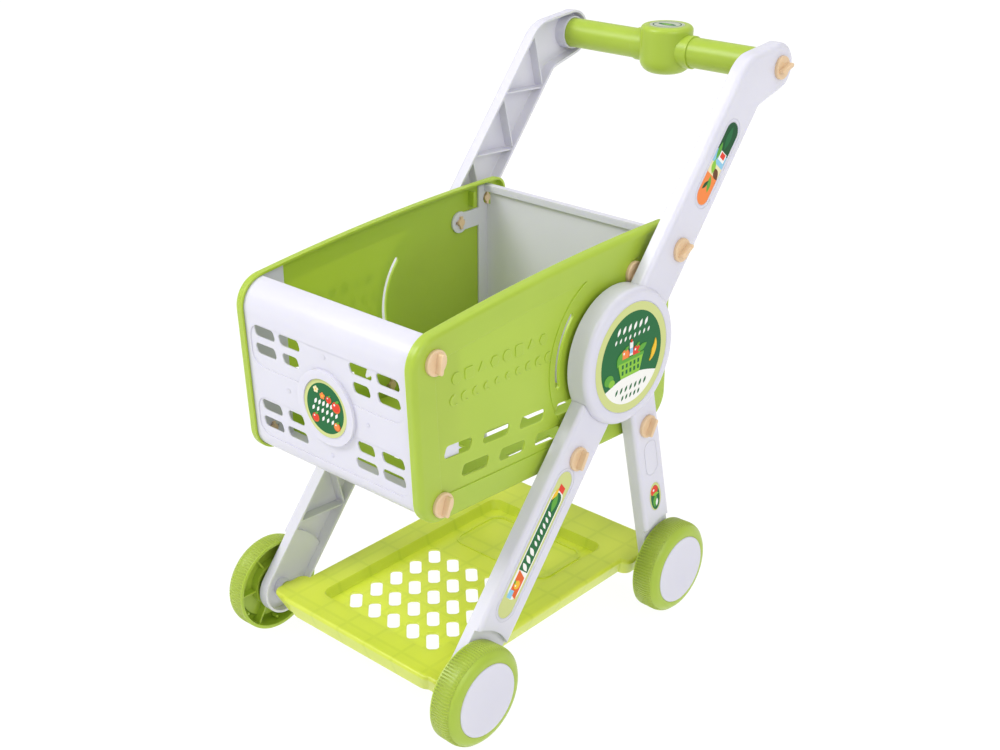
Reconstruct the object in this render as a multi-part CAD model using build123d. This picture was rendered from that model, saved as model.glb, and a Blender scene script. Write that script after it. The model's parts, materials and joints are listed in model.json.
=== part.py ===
from build123d import *
import math
import os

# Child's play shopping trolley, in millimetres.
# +X is the pusher's left, -Y the front, +Y the rear where the pusher stands, +Z up.
# Origin: on the floor, under the middle of the trolley's bounding box.
# The trolley is symmetric about x = 0, so each side piece is built on the left and mirrored.
# Pieces are drawn from the hub's own datum and moved along Y to that origin as they are saved.

os.makedirs("parts", exist_ok=True)

# ------------------------------------------------------------------ sizes
# Wheels, axles and the lines of the side frame
wheel_radius = 47.0
front_axle_y = -206.0
wheel_base = 288.5
rear_axle_y = front_axle_y + wheel_base
axle_z = wheel_radius
hub_y = 5.0
hub_z = 301.3
bar_y = 230.0
bar_z = 527.0
rear_lean = 0.2316

# Planes of the side frame, measured out from x = 0
leg_inner_x = 116.0
leg_thickness = 15.0
leg_outer_x = leg_inner_x + leg_thickness
arm_inner_x = 119.5
arm_thickness = 14.5
arm_outer_x = arm_inner_x + arm_thickness
drum_outer_x = 138.0
frame_wall = 2.4
rib_thickness = 1.6
rib_setback = 2.0
fit_gap = 0.2
loose_gap = 0.3

# Side frame outlines
arm_half_width = 25.0
arm_end_radius = 23.0
arm_shoulder_radius = 35.0
arm_bend_radius = 10.0
arm_bend_along = 272.0
arm_top_slope = 5.7
arm_edge_round = 6.0
drum_radius = 65.0
drum_edge_round = 6.0
front_leg_half_width = 25.3
rear_leg_half_width = 18.7
leg_edge_round = 4.5
leg_root_radius = 42.0
tongue_width = 20.0
tongue_eye_radius = 11.0
tongue_thickness = 2.4
hub_stud_radius = 6.0
hub_boss_radius = 10.0
rear_leg_top_z = 290.0
wheel_clearance_radius = 56.0
leg_foot_outer_x = 126.0
arm_rib_end = 285.0
arm_rib_count = 6
leg_rib_foot = 62.0
front_leg_rib_top = 118.0
front_leg_rib_count = 4
rear_leg_rib_gap = 20.0
rear_leg_rib_count = 3
arm_knob_distance = 111.0
arm_knob_across = -4.5
front_leg_knob_distance = -104.0
rear_leg_knob_z = 215.6

# Basket
panel_outer_x = 111.0
panel_depth = 10.0
panel_inner_x = panel_outer_x - panel_depth
panel_wall = 2.6
panel_lip = 2.4
panel_edge_round = 5.0
panel_front_top = (-246.6, 382.5)
panel_crown = (-73.0, 399.2)
panel_rear_top = (100.6, 404.0)
panel_rear_bottom = (100.6, 199.2)
panel_front_bottom = (-239.0, 215.2)
panel_front_top_radius = 28.0
panel_front_bottom_radius = 25.0
panel_rear_top_radius = 14.0
panel_rear_bottom_radius = 28.0
field_inset = 24.0
field_depth = 1.0
field_end_y = 53.4
drum_moat_radius = 83.0
arc_slot_radius = 73.4
arc_slot_width = 5.5
arc_slot_start = 138.0
arc_slot_end = 190.0
side_slot_length = 36.0
side_slot_height = 11.5
side_slot_pitch = 47.2
side_slot_slope = -4.4
side_slot_upper = (-194.2, 275.4)
side_slot_lower = (-173.6, 251.1)
side_slot_upper_count = 4
side_slot_lower_count = 3
slot_skew = 3.5
slot_corner = 3.6
clip_post_y = 55.0
clip_post_z = (380.0, 396.0)
clip_post_width = 4.0
emboss_height = 0.8
emboss_first_y = -196.0
emboss_pitch = 15.6
emboss_z = 340.0
emboss_size = 10.5
emboss_count = 8
crescent_first_y = -199.0
crescent_pitch = 13.3
crescent_z = 321.0
crescent_radius = 5.0
crescent_count = 10
sheet_wall = 2.2
front_top_end_y = -219.8
front_tail_y = -190.0
back_y = 78.0
back_top_z = 399.0
back_rim = 4.0
back_rim_height = 7.0
back_flange_y = 66.0
front_flange_y = -192.0
badge_boss_radius = 35.0
badge_boss_height = 3.0
badge_z = 294.0
badge_radius = 27.0
front_slot_length = 30.0
front_slot_short = 24.0
front_slot_height = 10.5
front_slot_x = (44.5, 77.0)
front_slot_rows = ((341.3, 324.3), (252.0, 268.7))
front_bands_z = ((307.0, 348.0), (238.0, 277.0))
band_half_width = 96.0
band_depth = 0.8
band_corner = 14.0
badge_pad_inset = 0.4
front_split_z = 300.0
back_ear_margin = 2.0
cutter_reach = 60.0
floor_slot_width = 9.0
floor_slot_pitch_x = 24.0
floor_slot_columns = 7
floor_slot_rows = 3
floor_slot_margin = 20.0
floor_slot_bridge = 14.0

# Twist-lock knobs
knob_radius = 11.3
knob_head = 3.4
knob_edge_round = 1.4
fin_width = 4.0
fin_length = 18.0
fin_height = 6.0
shank_radius = 4.0
lug_reach = 6.4
lug_width = 3.0
lug_thickness = 2.4
knob_boss_radius = 9.0
panel_knobs_at = ((-221.0, 362.4), (-215.7, 231.1), (38.6, 367.0))
panel_knob_tilts = (80.0, 70.0, 35.0)
frame_knob_tilts = (20.0, 30.0, 60.0, 60.0)

# Handle bar
bar_radius = 15.0
bar_wall = 2.4
bar_hub_radius = 26.5
bar_hub_bottom = 503.0
bar_hub_top = 550.5
bar_hub_round_top = 5.0
bar_hub_round_bottom = 14.0
bar_sleeve_radius = 16.3
bar_sleeve_end_x = 34.0
handle_badge_radius = 17.5

# Tray
tray_deck_z = 45.4
tray_rim_z = 56.0
tray_bottom_z = 35.0
tray_half_width = 107.0
tray_foot_half_width = 97.0
tray_front_y = -229.0
tray_rear_y = 98.6
tray_draft = 8.0
tray_wall = 2.4
tray_corner = 14.0
tray_edge_round = 3.0
tray_well_half_width = 72.0
tray_well_y = (-194.0, 52.0)
tray_well_draft = 0.3
tray_well_corner = 8.0
tray_front_ear_y = (-227.0, -183.0)
tray_rear_ear_y = (43.0, 105.0)
tray_ear_corner = 9.0
tray_ear_draft = 9.0
tray_hole_turn = -45.0
tray_boss_radius = 8.0
tray_lug_x = 104.0
tray_rib_z = 38.0
tray_side_rib_count = 6
tray_end_rib_count = 4
tray_hole_length = 27.0
tray_hole_width = 11.8
tray_hole_pitch_x = 26.0
tray_hole_pitch_y = 27.3
tray_hole_front_y = -172.0
tray_hole_count = 5
tray_hole_corner = 4.0
tray_bead_width = 3.0
tray_bead_height = 1.2
tray_bead_y = (-28.0, 44.0)
tray_bead_half_width = 62.0
tray_bead_corner = 16.0

# Wheels, caps and axle pins
wheel_inner_x = 127.8
wheel_outer_x = 152.6
wheel_rim_wall = 3.2
wheel_shoulder_round = 11.0
wheel_web_x = 143.0
wheel_web_wall = 2.4
wheel_rib_count = 6
wheel_ring_radius = 24.0
wheel_ring_setback = 4.0
wheel_rib_setback = 6.0
wheel_hub_radius = 9.5
cap_radius = 34.7
cap_outer_x = 153.4
cap_wall = 2.0
cap_edge_round = 1.0
cap_dish_radius = 32.0
cap_dish_depth = 3.0
cap_peg_radius = 3.0
cap_peg_circle = 17.0
cap_peg_count = 3
cap_peg_turn = 30.0
pin_radius = 5.0
running_gap = 0.06
pin_head_radius = 8.5
pin_head = 2.0
pin_lug_reach = 7.4
pin_lug_turn = 45.0

# Stickers
sticker_thickness = 0.4
sticker_recess = 0.5
hub_sticker_radius = 53.0
arm_sticker_span = (156.0, 241.0)
arm_sticker_half_width = 10.5
leg_sticker_span = (118.0, 262.0)
leg_sticker_half_width = 11.3
leg_sticker_across = 3.0
sticker_border = 2.2
groove_width = 1.2
groove_depth = 0.4
rear_sticker_z = 131.0
rear_sticker_size = (9.0, 17.0)
rear_oval_z = (158.0, 198.0)
rear_oval_half_width = 9.5

# ------------------------------------------------------------------ worked out
frame_angle = math.degrees(math.atan2(hub_z - axle_z, hub_y - front_axle_y))
frame_length = math.hypot(hub_y - front_axle_y, hub_z - axle_z)
rear_top_y = rear_axle_y - rear_lean * (rear_leg_top_z - axle_z)
rear_angle = math.degrees(math.atan2(axle_z - rear_leg_top_z, rear_axle_y - rear_top_y))
knob_shank_hole = shank_radius + fit_gap
bar_end_x = arm_outer_x - frame_wall - loose_gap
middle_y = (bar_y + bar_hub_radius + front_axle_y - wheel_radius) / 2


def along_frame(distance, across=0.0):
    """Point on the arm and front-leg line: distance up from the hub, across towards the front."""
    angle = math.radians(frame_angle)
    return (
        hub_y + distance * math.cos(angle) - across * math.sin(angle),
        hub_z + distance * math.sin(angle) + across * math.cos(angle),
    )


def on_rear_leg(z):
    """Point on the rear leg's centre line at height z."""
    return (rear_axle_y - rear_lean * (z - axle_z), z)


arm_knob_at = along_frame(arm_knob_distance, arm_knob_across)
front_leg_knob_at = along_frame(front_leg_knob_distance)
rear_leg_knob_at = on_rear_leg(rear_leg_knob_z)


# ------------------------------------------------------------------ helpers
def slab(face, x_from, x_to):
    """Thickness in X of a flat outline drawn in (y, z)."""
    return extrude(Plane.YZ.offset(x_from) * face, amount=x_to - x_from)


def rod(at, x_from, x_to, radius):
    """Round bar along X through the point at = (y, z)."""
    return slab(Pos(*at) * Circle(radius), x_from, x_to)


def pill(start, end, half_width):
    """Flat stadium from start to end, the ends of its outline included."""
    length = math.dist(start, end)
    angle = math.degrees(math.atan2(end[1] - start[1], end[0] - start[0]))
    middle = ((start[0] + end[0]) / 2, (start[1] + end[1]) / 2)
    return Pos(*middle) * Rot(0, 0, angle) * SlotOverall(length, 2 * half_width)


def strap(start, end, half_width):
    """Flat strip from start to end with round ends about both points."""
    length = math.dist(start, end)
    angle = math.degrees(math.atan2(end[1] - start[1], end[0] - start[0]))
    middle = ((start[0] + end[0]) / 2, (start[1] + end[1]) / 2)
    return Pos(*middle) * Rot(0, 0, angle) * SlotCenterToCenter(length, 2 * half_width)


def round_corner(face, corner, radius):
    """Round the vertex of a flat outline that is nearest to corner."""
    vertex = face.vertices().sort_by_distance(Vector(*corner))[0]
    return fillet(vertex, radius)


def outer_edges(solid):
    """Edges of the face that looks furthest out along +X."""
    return solid.faces().sort_by(Axis.X)[-1].outer_wire().edges()


def save(name, shape):
    """Save one piece, moved along Y so that the origin is under the middle of the trolley."""
    export_step(Pos(0, -middle_y, 0) * shape, f"parts/{name}.step")


def both_sides(name, left_shape):
    """Save a left-hand piece and its mirror image on the right."""
    save(f"{name}_left", left_shape)
    save(f"{name}_right", mirror(left_shape, about=Plane.YZ))


def bayonet_hole(at, x_from, x_to):
    """Round hole with two side slots that a twist-lock knob's lugs pass through."""
    slot = Pos(*at) * Rectangle(2 * lug_reach + 2 * fit_gap, lug_width + 2 * fit_gap)
    return rod(at, x_from, x_to, knob_shank_hole) + slab(slot, x_from, x_to)


def zigzag(start_u, end_u, count, half_width, x_from, x_to):
    """Bracing ribs that run from edge to edge along the arm and front-leg line."""
    step = (end_u - start_u) / count
    ribs = Part()
    for index in range(count):
        side = 1 if index % 2 == 0 else -1
        foot = along_frame(start_u + index * step, side * half_width)
        head = along_frame(start_u + (index + 1) * step, -side * half_width)
        ribs += slab(strap(foot, head, rib_thickness / 2), x_from, x_to)
    return ribs


# ------------------------------------------------------------------ side frame
def arm_outline():
    """Arm from the hub to its shoulder, with the round end about the handle bar."""
    slope = math.radians(arm_top_slope)
    rise = math.radians(frame_angle)
    top = (bar_y - arm_end_radius * math.sin(slope), bar_z + arm_end_radius * math.cos(slope))
    start = along_frame(0.0, arm_half_width)
    # where the arm's front edge meets the sloping top edge
    reach = (
        (top[1] - start[1] - math.tan(slope) * (top[0] - start[0]))
        / (math.sin(rise) - math.tan(slope) * math.cos(rise))
    )
    shoulder = along_frame(reach, arm_half_width)
    bend = along_frame(arm_bend_along, -arm_half_width)
    away = math.dist(bend, (bar_y, bar_z))
    heading = math.atan2(bar_z - bend[1], bar_y - bend[0]) - math.asin(arm_end_radius / away)
    under = (
        bar_y + arm_end_radius * math.sin(heading),
        bar_z - arm_end_radius * math.cos(heading),
    )
    foot = along_frame(0.0, -arm_half_width)
    face = make_face(Polyline(start, shoulder, top, (bar_y, bar_z), under, bend, foot, close=True))
    face = round_corner(face, shoulder, arm_shoulder_radius)
    face = round_corner(face, bend, arm_bend_radius)
    return face + Pos(bar_y, bar_z) * Circle(arm_end_radius)


def front_leg_outline():
    return strap((front_axle_y, axle_z), (hub_y, hub_z), front_leg_half_width)


def rear_leg_outline():
    return strap((rear_axle_y, axle_z), (rear_top_y, rear_leg_top_z), rear_leg_half_width)


def hub_circle(radius):
    return Pos(hub_y, hub_z) * Circle(radius)


def build_handle_arm():
    """Arm and round drum in one moulding, open on its inner side and ribbed."""
    outline = arm_outline()
    arm = slab(outline, arm_inner_x, arm_outer_x)
    arm = fillet(outer_edges(arm), arm_edge_round)
    drum = slab(hub_circle(drum_radius), leg_inner_x, drum_outer_x)
    drum = fillet(outer_edges(drum), drum_edge_round)
    body = arm + drum
    arm_room = slab(offset(outline, -frame_wall), arm_inner_x, arm_outer_x - frame_wall)
    drum_room = slab(hub_circle(drum_radius - frame_wall), leg_inner_x, drum_outer_x - frame_wall)
    body -= arm_room
    body -= drum_room
    # the drum's skirt is open where the two legs enter it
    for leg in (front_leg_outline(), rear_leg_outline()):
        body -= slab(offset(leg, fit_gap), leg_inner_x, leg_outer_x + fit_gap)
    ribs = zigzag(drum_radius, arm_rib_end, arm_rib_count, arm_half_width, arm_inner_x + rib_setback,
                  arm_outer_x - frame_wall)
    body += ribs & arm_room
    socket_radius = bar_radius + loose_gap
    body += rod((bar_y, bar_z), arm_inner_x, arm_outer_x - frame_wall, socket_radius + rib_thickness)
    body -= rod((bar_y, bar_z), arm_inner_x, arm_outer_x - frame_wall, socket_radius)
    body += rod(arm_knob_at, panel_outer_x, arm_outer_x - frame_wall, knob_boss_radius)
    # the hub stud passes through both legs' tongues
    legs_top_x = leg_inner_x + 2 * tongue_thickness + 2 * fit_gap
    body += rod((hub_y, hub_z), legs_top_x, drum_outer_x - frame_wall, hub_boss_radius)
    body += rod((hub_y, hub_z), leg_inner_x, legs_top_x, hub_stud_radius)
    body -= bayonet_hole(arm_knob_at, panel_outer_x, arm_outer_x)
    body -= bayonet_hole((bar_y, bar_z), arm_outer_x - frame_wall, arm_outer_x)
    body -= slab(hub_circle(hub_sticker_radius + fit_gap), drum_outer_x - sticker_recess, drum_outer_x)
    body -= slab(arm_sticker_outline(fit_gap), arm_outer_x - sticker_recess, arm_outer_x)
    return body - border_groove(arm_sticker_outline, arm_outer_x)


def arm_sticker_outline(margin=0.0):
    low, high = arm_sticker_span
    return pill(along_frame(low - margin), along_frame(high + margin), arm_sticker_half_width + margin)


def leg_sticker_outline(margin=0.0):
    low, high = leg_sticker_span
    start = along_frame(-low + margin, leg_sticker_across)
    end = along_frame(-high - margin, leg_sticker_across)
    return pill(start, end, leg_sticker_half_width + margin)


def border_groove(sticker_outline, face_x):
    """Fine groove that runs round a sticker at an even distance."""
    ring = sticker_outline(sticker_border + groove_width) - sticker_outline(sticker_border)
    return slab(ring, face_x - groove_depth, face_x)


def rear_sticker_outline(margin=0.0):
    half_width, half_length = rear_sticker_size
    place = Pos(*on_rear_leg(rear_sticker_z)) * Rot(0, 0, rear_angle)
    return place * Ellipse(half_length + margin, half_width + margin)


def build_leg(outline, axle_at, tongue_from_x, knob_at):
    """Open-backed leg with a thin tongue that laps under the hub drum."""
    leg = slab(outline, leg_inner_x, leg_outer_x)
    leg = fillet(outer_edges(leg), leg_edge_round)
    room = slab(offset(outline, -frame_wall), leg_inner_x, leg_outer_x - frame_wall)
    leg -= room
    # a thinner foot leaves room for the wheel
    near_wheel = slab(Pos(*axle_at) * Circle(wheel_clearance_radius), leg_foot_outer_x, leg_outer_x)
    skin = slab(
        outline & (Pos(*axle_at) * Circle(wheel_clearance_radius + frame_wall)),
        leg_foot_outer_x - frame_wall,
        leg_foot_outer_x,
    )
    step_wall = slab(
        outline
        & (Pos(*axle_at) * (Circle(wheel_clearance_radius + frame_wall) - Circle(wheel_clearance_radius))),
        leg_foot_outer_x - frame_wall,
        leg_outer_x - frame_wall,
    )
    leg -= near_wheel
    leg += skin + step_wall
    leg -= slab(hub_circle(leg_root_radius), leg_inner_x, leg_outer_x)
    # the root's end wall closes the leg where it stops under the drum
    root_wall = outline & (hub_circle(leg_root_radius + frame_wall) - hub_circle(leg_root_radius))
    leg += slab(root_wall, leg_inner_x, leg_outer_x - frame_wall)
    tongue = strap(knob_at, (hub_y, hub_z), tongue_width / 2)
    tongue = tongue & hub_circle(leg_root_radius + frame_wall / 2)
    tongue = tongue + hub_circle(tongue_eye_radius)
    leg += slab(tongue, tongue_from_x, tongue_from_x + tongue_thickness)
    leg -= rod((hub_y, hub_z), leg_inner_x, leg_outer_x, hub_stud_radius + fit_gap)
    # knob boss, standing out to the basket's side panel
    leg += rod(knob_at, panel_outer_x, leg_outer_x - frame_wall, knob_boss_radius)
    leg -= bayonet_hole(knob_at, panel_outer_x, leg_outer_x)
    # axle boss, standing out to the tray's ear
    leg += rod(axle_at, leg_inner_x, leg_foot_outer_x - frame_wall, knob_boss_radius)
    leg -= rod(axle_at, leg_inner_x, leg_foot_outer_x, pin_radius + fit_gap)
    return leg, room


def build_front_leg():
    leg, room = build_leg(front_leg_outline(), (front_axle_y, axle_z), leg_inner_x, front_leg_knob_at)
    ribs = zigzag(leg_rib_foot - frame_length, -front_leg_rib_top, front_leg_rib_count, front_leg_half_width,
                  leg_inner_x + rib_setback, leg_outer_x - frame_wall)
    leg += ribs & room
    leg -= slab(leg_sticker_outline(fit_gap), leg_outer_x - sticker_recess, leg_outer_x)
    return leg - border_groove(leg_sticker_outline, leg_outer_x)


def build_rear_leg():
    tongue_x = leg_inner_x + tongue_thickness + fit_gap
    leg, room = build_leg(rear_leg_outline(), (rear_axle_y, axle_z), tongue_x, rear_leg_knob_at)
    foot_z = axle_z + leg_rib_foot
    step = (rear_leg_knob_at[1] - rear_leg_rib_gap - foot_z) / rear_leg_rib_count
    for index in range(rear_leg_rib_count):
        side = 1 if index % 2 == 0 else -1
        foot = on_rear_leg(foot_z + index * step)
        head = on_rear_leg(foot_z + (index + 1) * step)
        reach = side * rear_leg_half_width
        line = strap((foot[0] + reach, foot[1]), (head[0] - reach, head[1]), rib_thickness / 2)
        leg += slab(line, leg_inner_x + rib_setback, leg_outer_x - frame_wall) & room
    leg -= slab(rear_sticker_outline(fit_gap), leg_outer_x - sticker_recess, leg_outer_x)
    oval = pill(on_rear_leg(rear_oval_z[0]), on_rear_leg(rear_oval_z[1]), rear_oval_half_width)
    return leg - slab(oval - offset(oval, -groove_width), leg_outer_x - groove_depth, leg_outer_x)


# ------------------------------------------------------------------ basket
def basket_outline(inset=0.0):
    """Side view of the basket, as a closed outline in (y, z)."""
    top = ThreePointArc(panel_front_top, panel_crown, panel_rear_top)
    rest = Polyline(panel_rear_top, panel_rear_bottom, panel_front_bottom, panel_front_top)
    face = make_face([top, *rest.edges()])
    face = round_corner(face, panel_front_top, panel_front_top_radius)
    face = round_corner(face, panel_front_bottom, panel_front_bottom_radius)
    face = round_corner(face, panel_rear_top, panel_rear_top_radius)
    face = round_corner(face, panel_rear_bottom, panel_rear_bottom_radius)
    return offset(face, -inset) if inset else face


def leaf_slot(length, height, skew):
    """Slot outline that leans by skew, with round corners, centred on the origin."""
    half_l, half_h = length / 2, height / 2
    face = make_face(Polyline(
        (-half_l - skew / 2, -half_h), (half_l - skew / 2, -half_h),
        (half_l + skew / 2, half_h), (-half_l + skew / 2, half_h), close=True))
    return fillet(face.vertices(), slot_corner)


def side_slots():
    """The two rows of slots in a side panel."""
    slots = Sketch()
    shape = Rot(0, 0, side_slot_slope) * leaf_slot(side_slot_length - slot_skew, side_slot_height, slot_skew)
    for first, count in ((side_slot_upper, side_slot_upper_count), (side_slot_lower, side_slot_lower_count)):
        for index in range(count):
            drop = index * side_slot_pitch * math.tan(math.radians(side_slot_slope))
            slots += Pos(first[0] + index * side_slot_pitch, first[1] + drop) * shape
    return slots


def arc_slot():
    """Thin slot that curves around the hub drum."""
    ring = hub_circle(arc_slot_radius + arc_slot_width / 2) - hub_circle(arc_slot_radius - arc_slot_width / 2)
    reach = 2 * arc_slot_radius
    points = [(0, 0)]
    for angle in (arc_slot_start, (arc_slot_start + arc_slot_end) / 2, arc_slot_end):
        points.append((reach * math.cos(math.radians(angle)), reach * math.sin(math.radians(angle))))
    wedge = Pos(hub_y, hub_z) * make_face(Polyline(*points, close=True))
    slot = ring & wedge
    for angle in (arc_slot_start, arc_slot_end):
        end = (
            hub_y + arc_slot_radius * math.cos(math.radians(angle)),
            hub_z + arc_slot_radius * math.sin(math.radians(angle)),
        )
        slot += Pos(*end) * Circle(arc_slot_width / 2)
    return slot


def emboss_shapes():
    """Row of plain raised play shapes with a row of crescents under it."""
    shapes = Sketch()
    half = emboss_size / 2
    kinds = (
        Circle(half),
        RectangleRounded(emboss_size, emboss_size, 2.0),
        RegularPolygon(half, 3, rotation=90),
        RegularPolygon(half, 6),
    )
    for index in range(emboss_count):
        shapes += Pos(emboss_first_y + index * emboss_pitch, emboss_z) * kinds[index % len(kinds)]
    middle = (crescent_count - 1) / 2
    for index in range(crescent_count):
        size = crescent_radius * (0.6 + 0.4 * abs(index - middle) / middle)
        moon = Circle(size) - Pos(size * 0.55, size * 0.1) * Circle(size * 0.9)
        shapes += Pos(crescent_first_y + index * crescent_pitch, crescent_z) * moon
    return shapes


def build_side_panel():
    """Dished cover that closes one side of the basket."""
    outline = basket_outline()
    panel = slab(outline, panel_inner_x, panel_outer_x)
    panel = fillet(outer_edges(panel), panel_edge_round)
    panel -= slab(basket_outline(panel_lip), panel_inner_x, panel_outer_x - panel_wall)
    field = basket_outline(field_inset) - hub_circle(drum_moat_radius)
    field = field & sheet_region((basket_front, basket_low), (field_end_y, basket_high))
    panel -= slab(field, panel_outer_x - field_depth, panel_outer_x)
    field_x = panel_outer_x - field_depth
    panel += slab(emboss_shapes(), field_x, field_x + emboss_height)
    panel -= slab(side_slots() + arc_slot(), panel_inner_x, panel_outer_x)
    for at in (*panel_knobs_at, arm_knob_at, front_leg_knob_at, rear_leg_knob_at):
        panel -= bayonet_hole(at, panel_inner_x, panel_outer_x)
    low, high = clip_post_z
    post = pill((clip_post_y, low), (clip_post_y, high), clip_post_width / 2)
    return panel + slab(post, panel_inner_x, panel_outer_x - panel_wall)


def sheet_region(low, high):
    """Rectangle in (y, z) between two corners."""
    middle = ((low[0] + high[0]) / 2, (low[1] + high[1]) / 2)
    return Pos(*middle) * Rectangle(high[0] - low[0], high[1] - low[1])


sheet_inset = panel_lip + loose_gap
sheet_end_x = panel_outer_x - panel_wall - fit_gap
basket_front = panel_front_top[0] - cutter_reach
basket_low = panel_rear_bottom[1] - cutter_reach
basket_high = panel_rear_top[1] + cutter_reach


def basket_sheet(low, high, half_width):
    """Length of the wall that runs around the basket between the side panels."""
    ring = basket_outline(sheet_inset) - basket_outline(sheet_inset + sheet_wall)
    return slab(ring & sheet_region(low, high), -half_width, half_width)


def end_flanges(low, high):
    """The two end webs of the front or back panel, flat against the side panels."""
    web = slab(basket_outline(sheet_inset) & sheet_region(low, high), sheet_end_x - sheet_wall, sheet_end_x)
    return web + mirror(web, about=Plane.YZ)


def both_mirrored(shape):
    return shape + mirror(shape, about=Plane.YZ)


def front_plane(x, z, face, depth_from, depth_to):
    """Outline drawn in (x, z) on the front, thickened along Y."""
    plane = Plane(origin=(x, depth_from, z), x_dir=(1, 0, 0), z_dir=(0, -1, 0))
    return extrude(plane * face, amount=depth_from - depth_to)


def front_wall_y(z):
    """Y of the front wall's outer face at height z, between its two rounded corners."""
    lean = (panel_front_bottom[0] - panel_front_top[0]) / (panel_front_top[1] - panel_front_bottom[1])
    return panel_front_top[0] + lean * (panel_front_top[1] - z) + sheet_inset


front_face_y = front_wall_y(badge_z)
badge_plane_y = front_face_y - badge_boss_height + badge_pad_inset


def build_front_panel():
    """White front wall that rolls over at the top and under at the bottom."""
    panel = basket_sheet((basket_front, front_split_z), (front_top_end_y, basket_high), sheet_end_x)
    panel += basket_sheet((basket_front, basket_low), (front_tail_y, front_split_z), sheet_end_x)
    panel += end_flanges((basket_front, basket_low), (front_flange_y, basket_high))
    skin = basket_outline() - basket_outline(sheet_inset + band_depth)
    skin = slab(skin, -band_half_width, band_half_width)
    inside_y = front_face_y + cutter_reach / 2
    for low, high in front_bands_z:
        band = RectangleRounded(2 * band_half_width, high - low, band_corner)
        panel -= front_plane(0, (low + high) / 2, band, inside_y, basket_front) & skin
    for at in panel_knobs_at[:2]:
        panel -= both_mirrored(bayonet_hole(at, panel_inner_x, panel_outer_x))
    boss = front_plane(0, badge_z, Circle(badge_boss_radius), front_face_y + sheet_wall, basket_front)
    trim = basket_outline(sheet_inset - badge_boss_height)
    boss = boss & slab(trim, -badge_boss_radius, badge_boss_radius)
    panel += boss
    seat = Circle(badge_radius + fit_gap)
    panel -= front_plane(0, badge_z, seat, badge_plane_y + sticker_recess, basket_front)
    for rows, rise in zip(front_slot_rows, (1, -1)):
        for row, z in enumerate(rows):
            for side in (-1, 1):
                inner_length = front_slot_short if row else front_slot_length
                for x, length in ((front_slot_x[0], inner_length), (front_slot_x[1], front_slot_length)):
                    shape = leaf_slot(length - slot_skew, front_slot_height, -slot_skew)
                    panel -= front_plane(side * x, z, shape, inside_y, basket_front)
    return panel


def build_back_panel():
    """White back wall with a thick top rim and a narrow flange against each side panel."""
    inside = basket_outline(sheet_inset)
    wall_end_y = back_y + sheet_wall
    wall = inside & sheet_region((back_y, basket_low), (wall_end_y, back_top_z))
    panel = slab(wall, -sheet_end_x, sheet_end_x)
    rim = sheet_region((back_y - back_rim, back_top_z - back_rim_height), (wall_end_y, back_top_z))
    panel += slab(rim, -sheet_end_x, sheet_end_x)
    web = inside & sheet_region((back_flange_y, basket_low), (wall_end_y, back_top_z))
    for at in (panel_knobs_at[2], rear_leg_knob_at):
        web += Pos(*at) * Circle(knob_boss_radius + back_ear_margin)
        web += sheet_region((at[0], at[1] - knob_boss_radius), (back_y, at[1] + knob_boss_radius))
    web = slab(web, sheet_end_x - sheet_wall, sheet_end_x)
    panel += both_mirrored(web)
    for at in (panel_knobs_at[2], rear_leg_knob_at):
        panel -= both_mirrored(bayonet_hole(at, panel_inner_x, panel_outer_x))
    # the arm's knob locks in the side panel alone, so its lugs turn in a round clearance here
    return panel - both_mirrored(rod(arm_knob_at, panel_inner_x, panel_outer_x, lug_reach + loose_gap))


def build_floor():
    """Slotted floor between the front panel's tail and the back wall."""
    half_width = sheet_end_x - sheet_wall - fit_gap
    floor = basket_sheet((front_tail_y + fit_gap, basket_low), (back_y - fit_gap, front_split_z), half_width)
    low_y = front_tail_y + floor_slot_margin
    step_y = (back_y - front_tail_y - 2 * floor_slot_margin) / floor_slot_rows
    for column in range(floor_slot_columns):
        x = (column - (floor_slot_columns - 1) / 2) * floor_slot_pitch_x
        for row in range(floor_slot_rows):
            cut = Box(floor_slot_width, step_y - floor_slot_bridge, 2 * cutter_reach)
            floor -= Pos(x, low_y + (row + 0.5) * step_y, panel_rear_bottom[1]) * cut
    return floor


# ------------------------------------------------------------------ knobs
def twist_knob(at, face_x, grip_x, fin_angle):
    """Twist-lock knob: head on face_x, shank and two lugs that lock behind grip_x."""
    head = rod(at, face_x, face_x + knob_head, knob_radius)
    head = fillet(outer_edges(head), knob_edge_round)
    fin_face = Pos(*at) * Rot(0, 0, fin_angle) * SlotOverall(fin_length, fin_width)
    fin = slab(fin_face, face_x + knob_head, face_x + knob_head + fin_height)
    fin = fillet(outer_edges(fin), fin_width / 4)
    shank = rod(at, grip_x - fit_gap - lug_thickness, face_x, shank_radius)
    lug = Pos(*at) * Rectangle(lug_width, 2 * lug_reach)
    lugs = slab(lug, grip_x - fit_gap - lug_thickness, grip_x - fit_gap)
    return head + fin + shank + lugs


def panel_knobs():
    """Knobs that hold the front and back panels in one side panel."""
    grip = sheet_end_x - sheet_wall
    knobs = Part()
    for at, tilt in zip(panel_knobs_at, panel_knob_tilts):
        knobs += twist_knob(at, panel_outer_x, grip, tilt)
    return knobs


def frame_knobs():
    """Knobs that hold one side frame to the handle bar and to the basket."""
    web_grip = sheet_end_x - sheet_wall
    panel_grip = panel_outer_x - panel_wall
    bar_tilt, arm_tilt, front_leg_tilt, rear_leg_tilt = frame_knob_tilts
    knobs = twist_knob((bar_y, bar_z), arm_outer_x, bar_end_x - bar_wall, bar_tilt)
    knobs += twist_knob(arm_knob_at, arm_outer_x, panel_grip, arm_tilt)
    knobs += twist_knob(front_leg_knob_at, leg_outer_x, panel_grip, front_leg_tilt)
    knobs += twist_knob(rear_leg_knob_at, leg_outer_x, web_grip, rear_leg_tilt)
    return knobs


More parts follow.
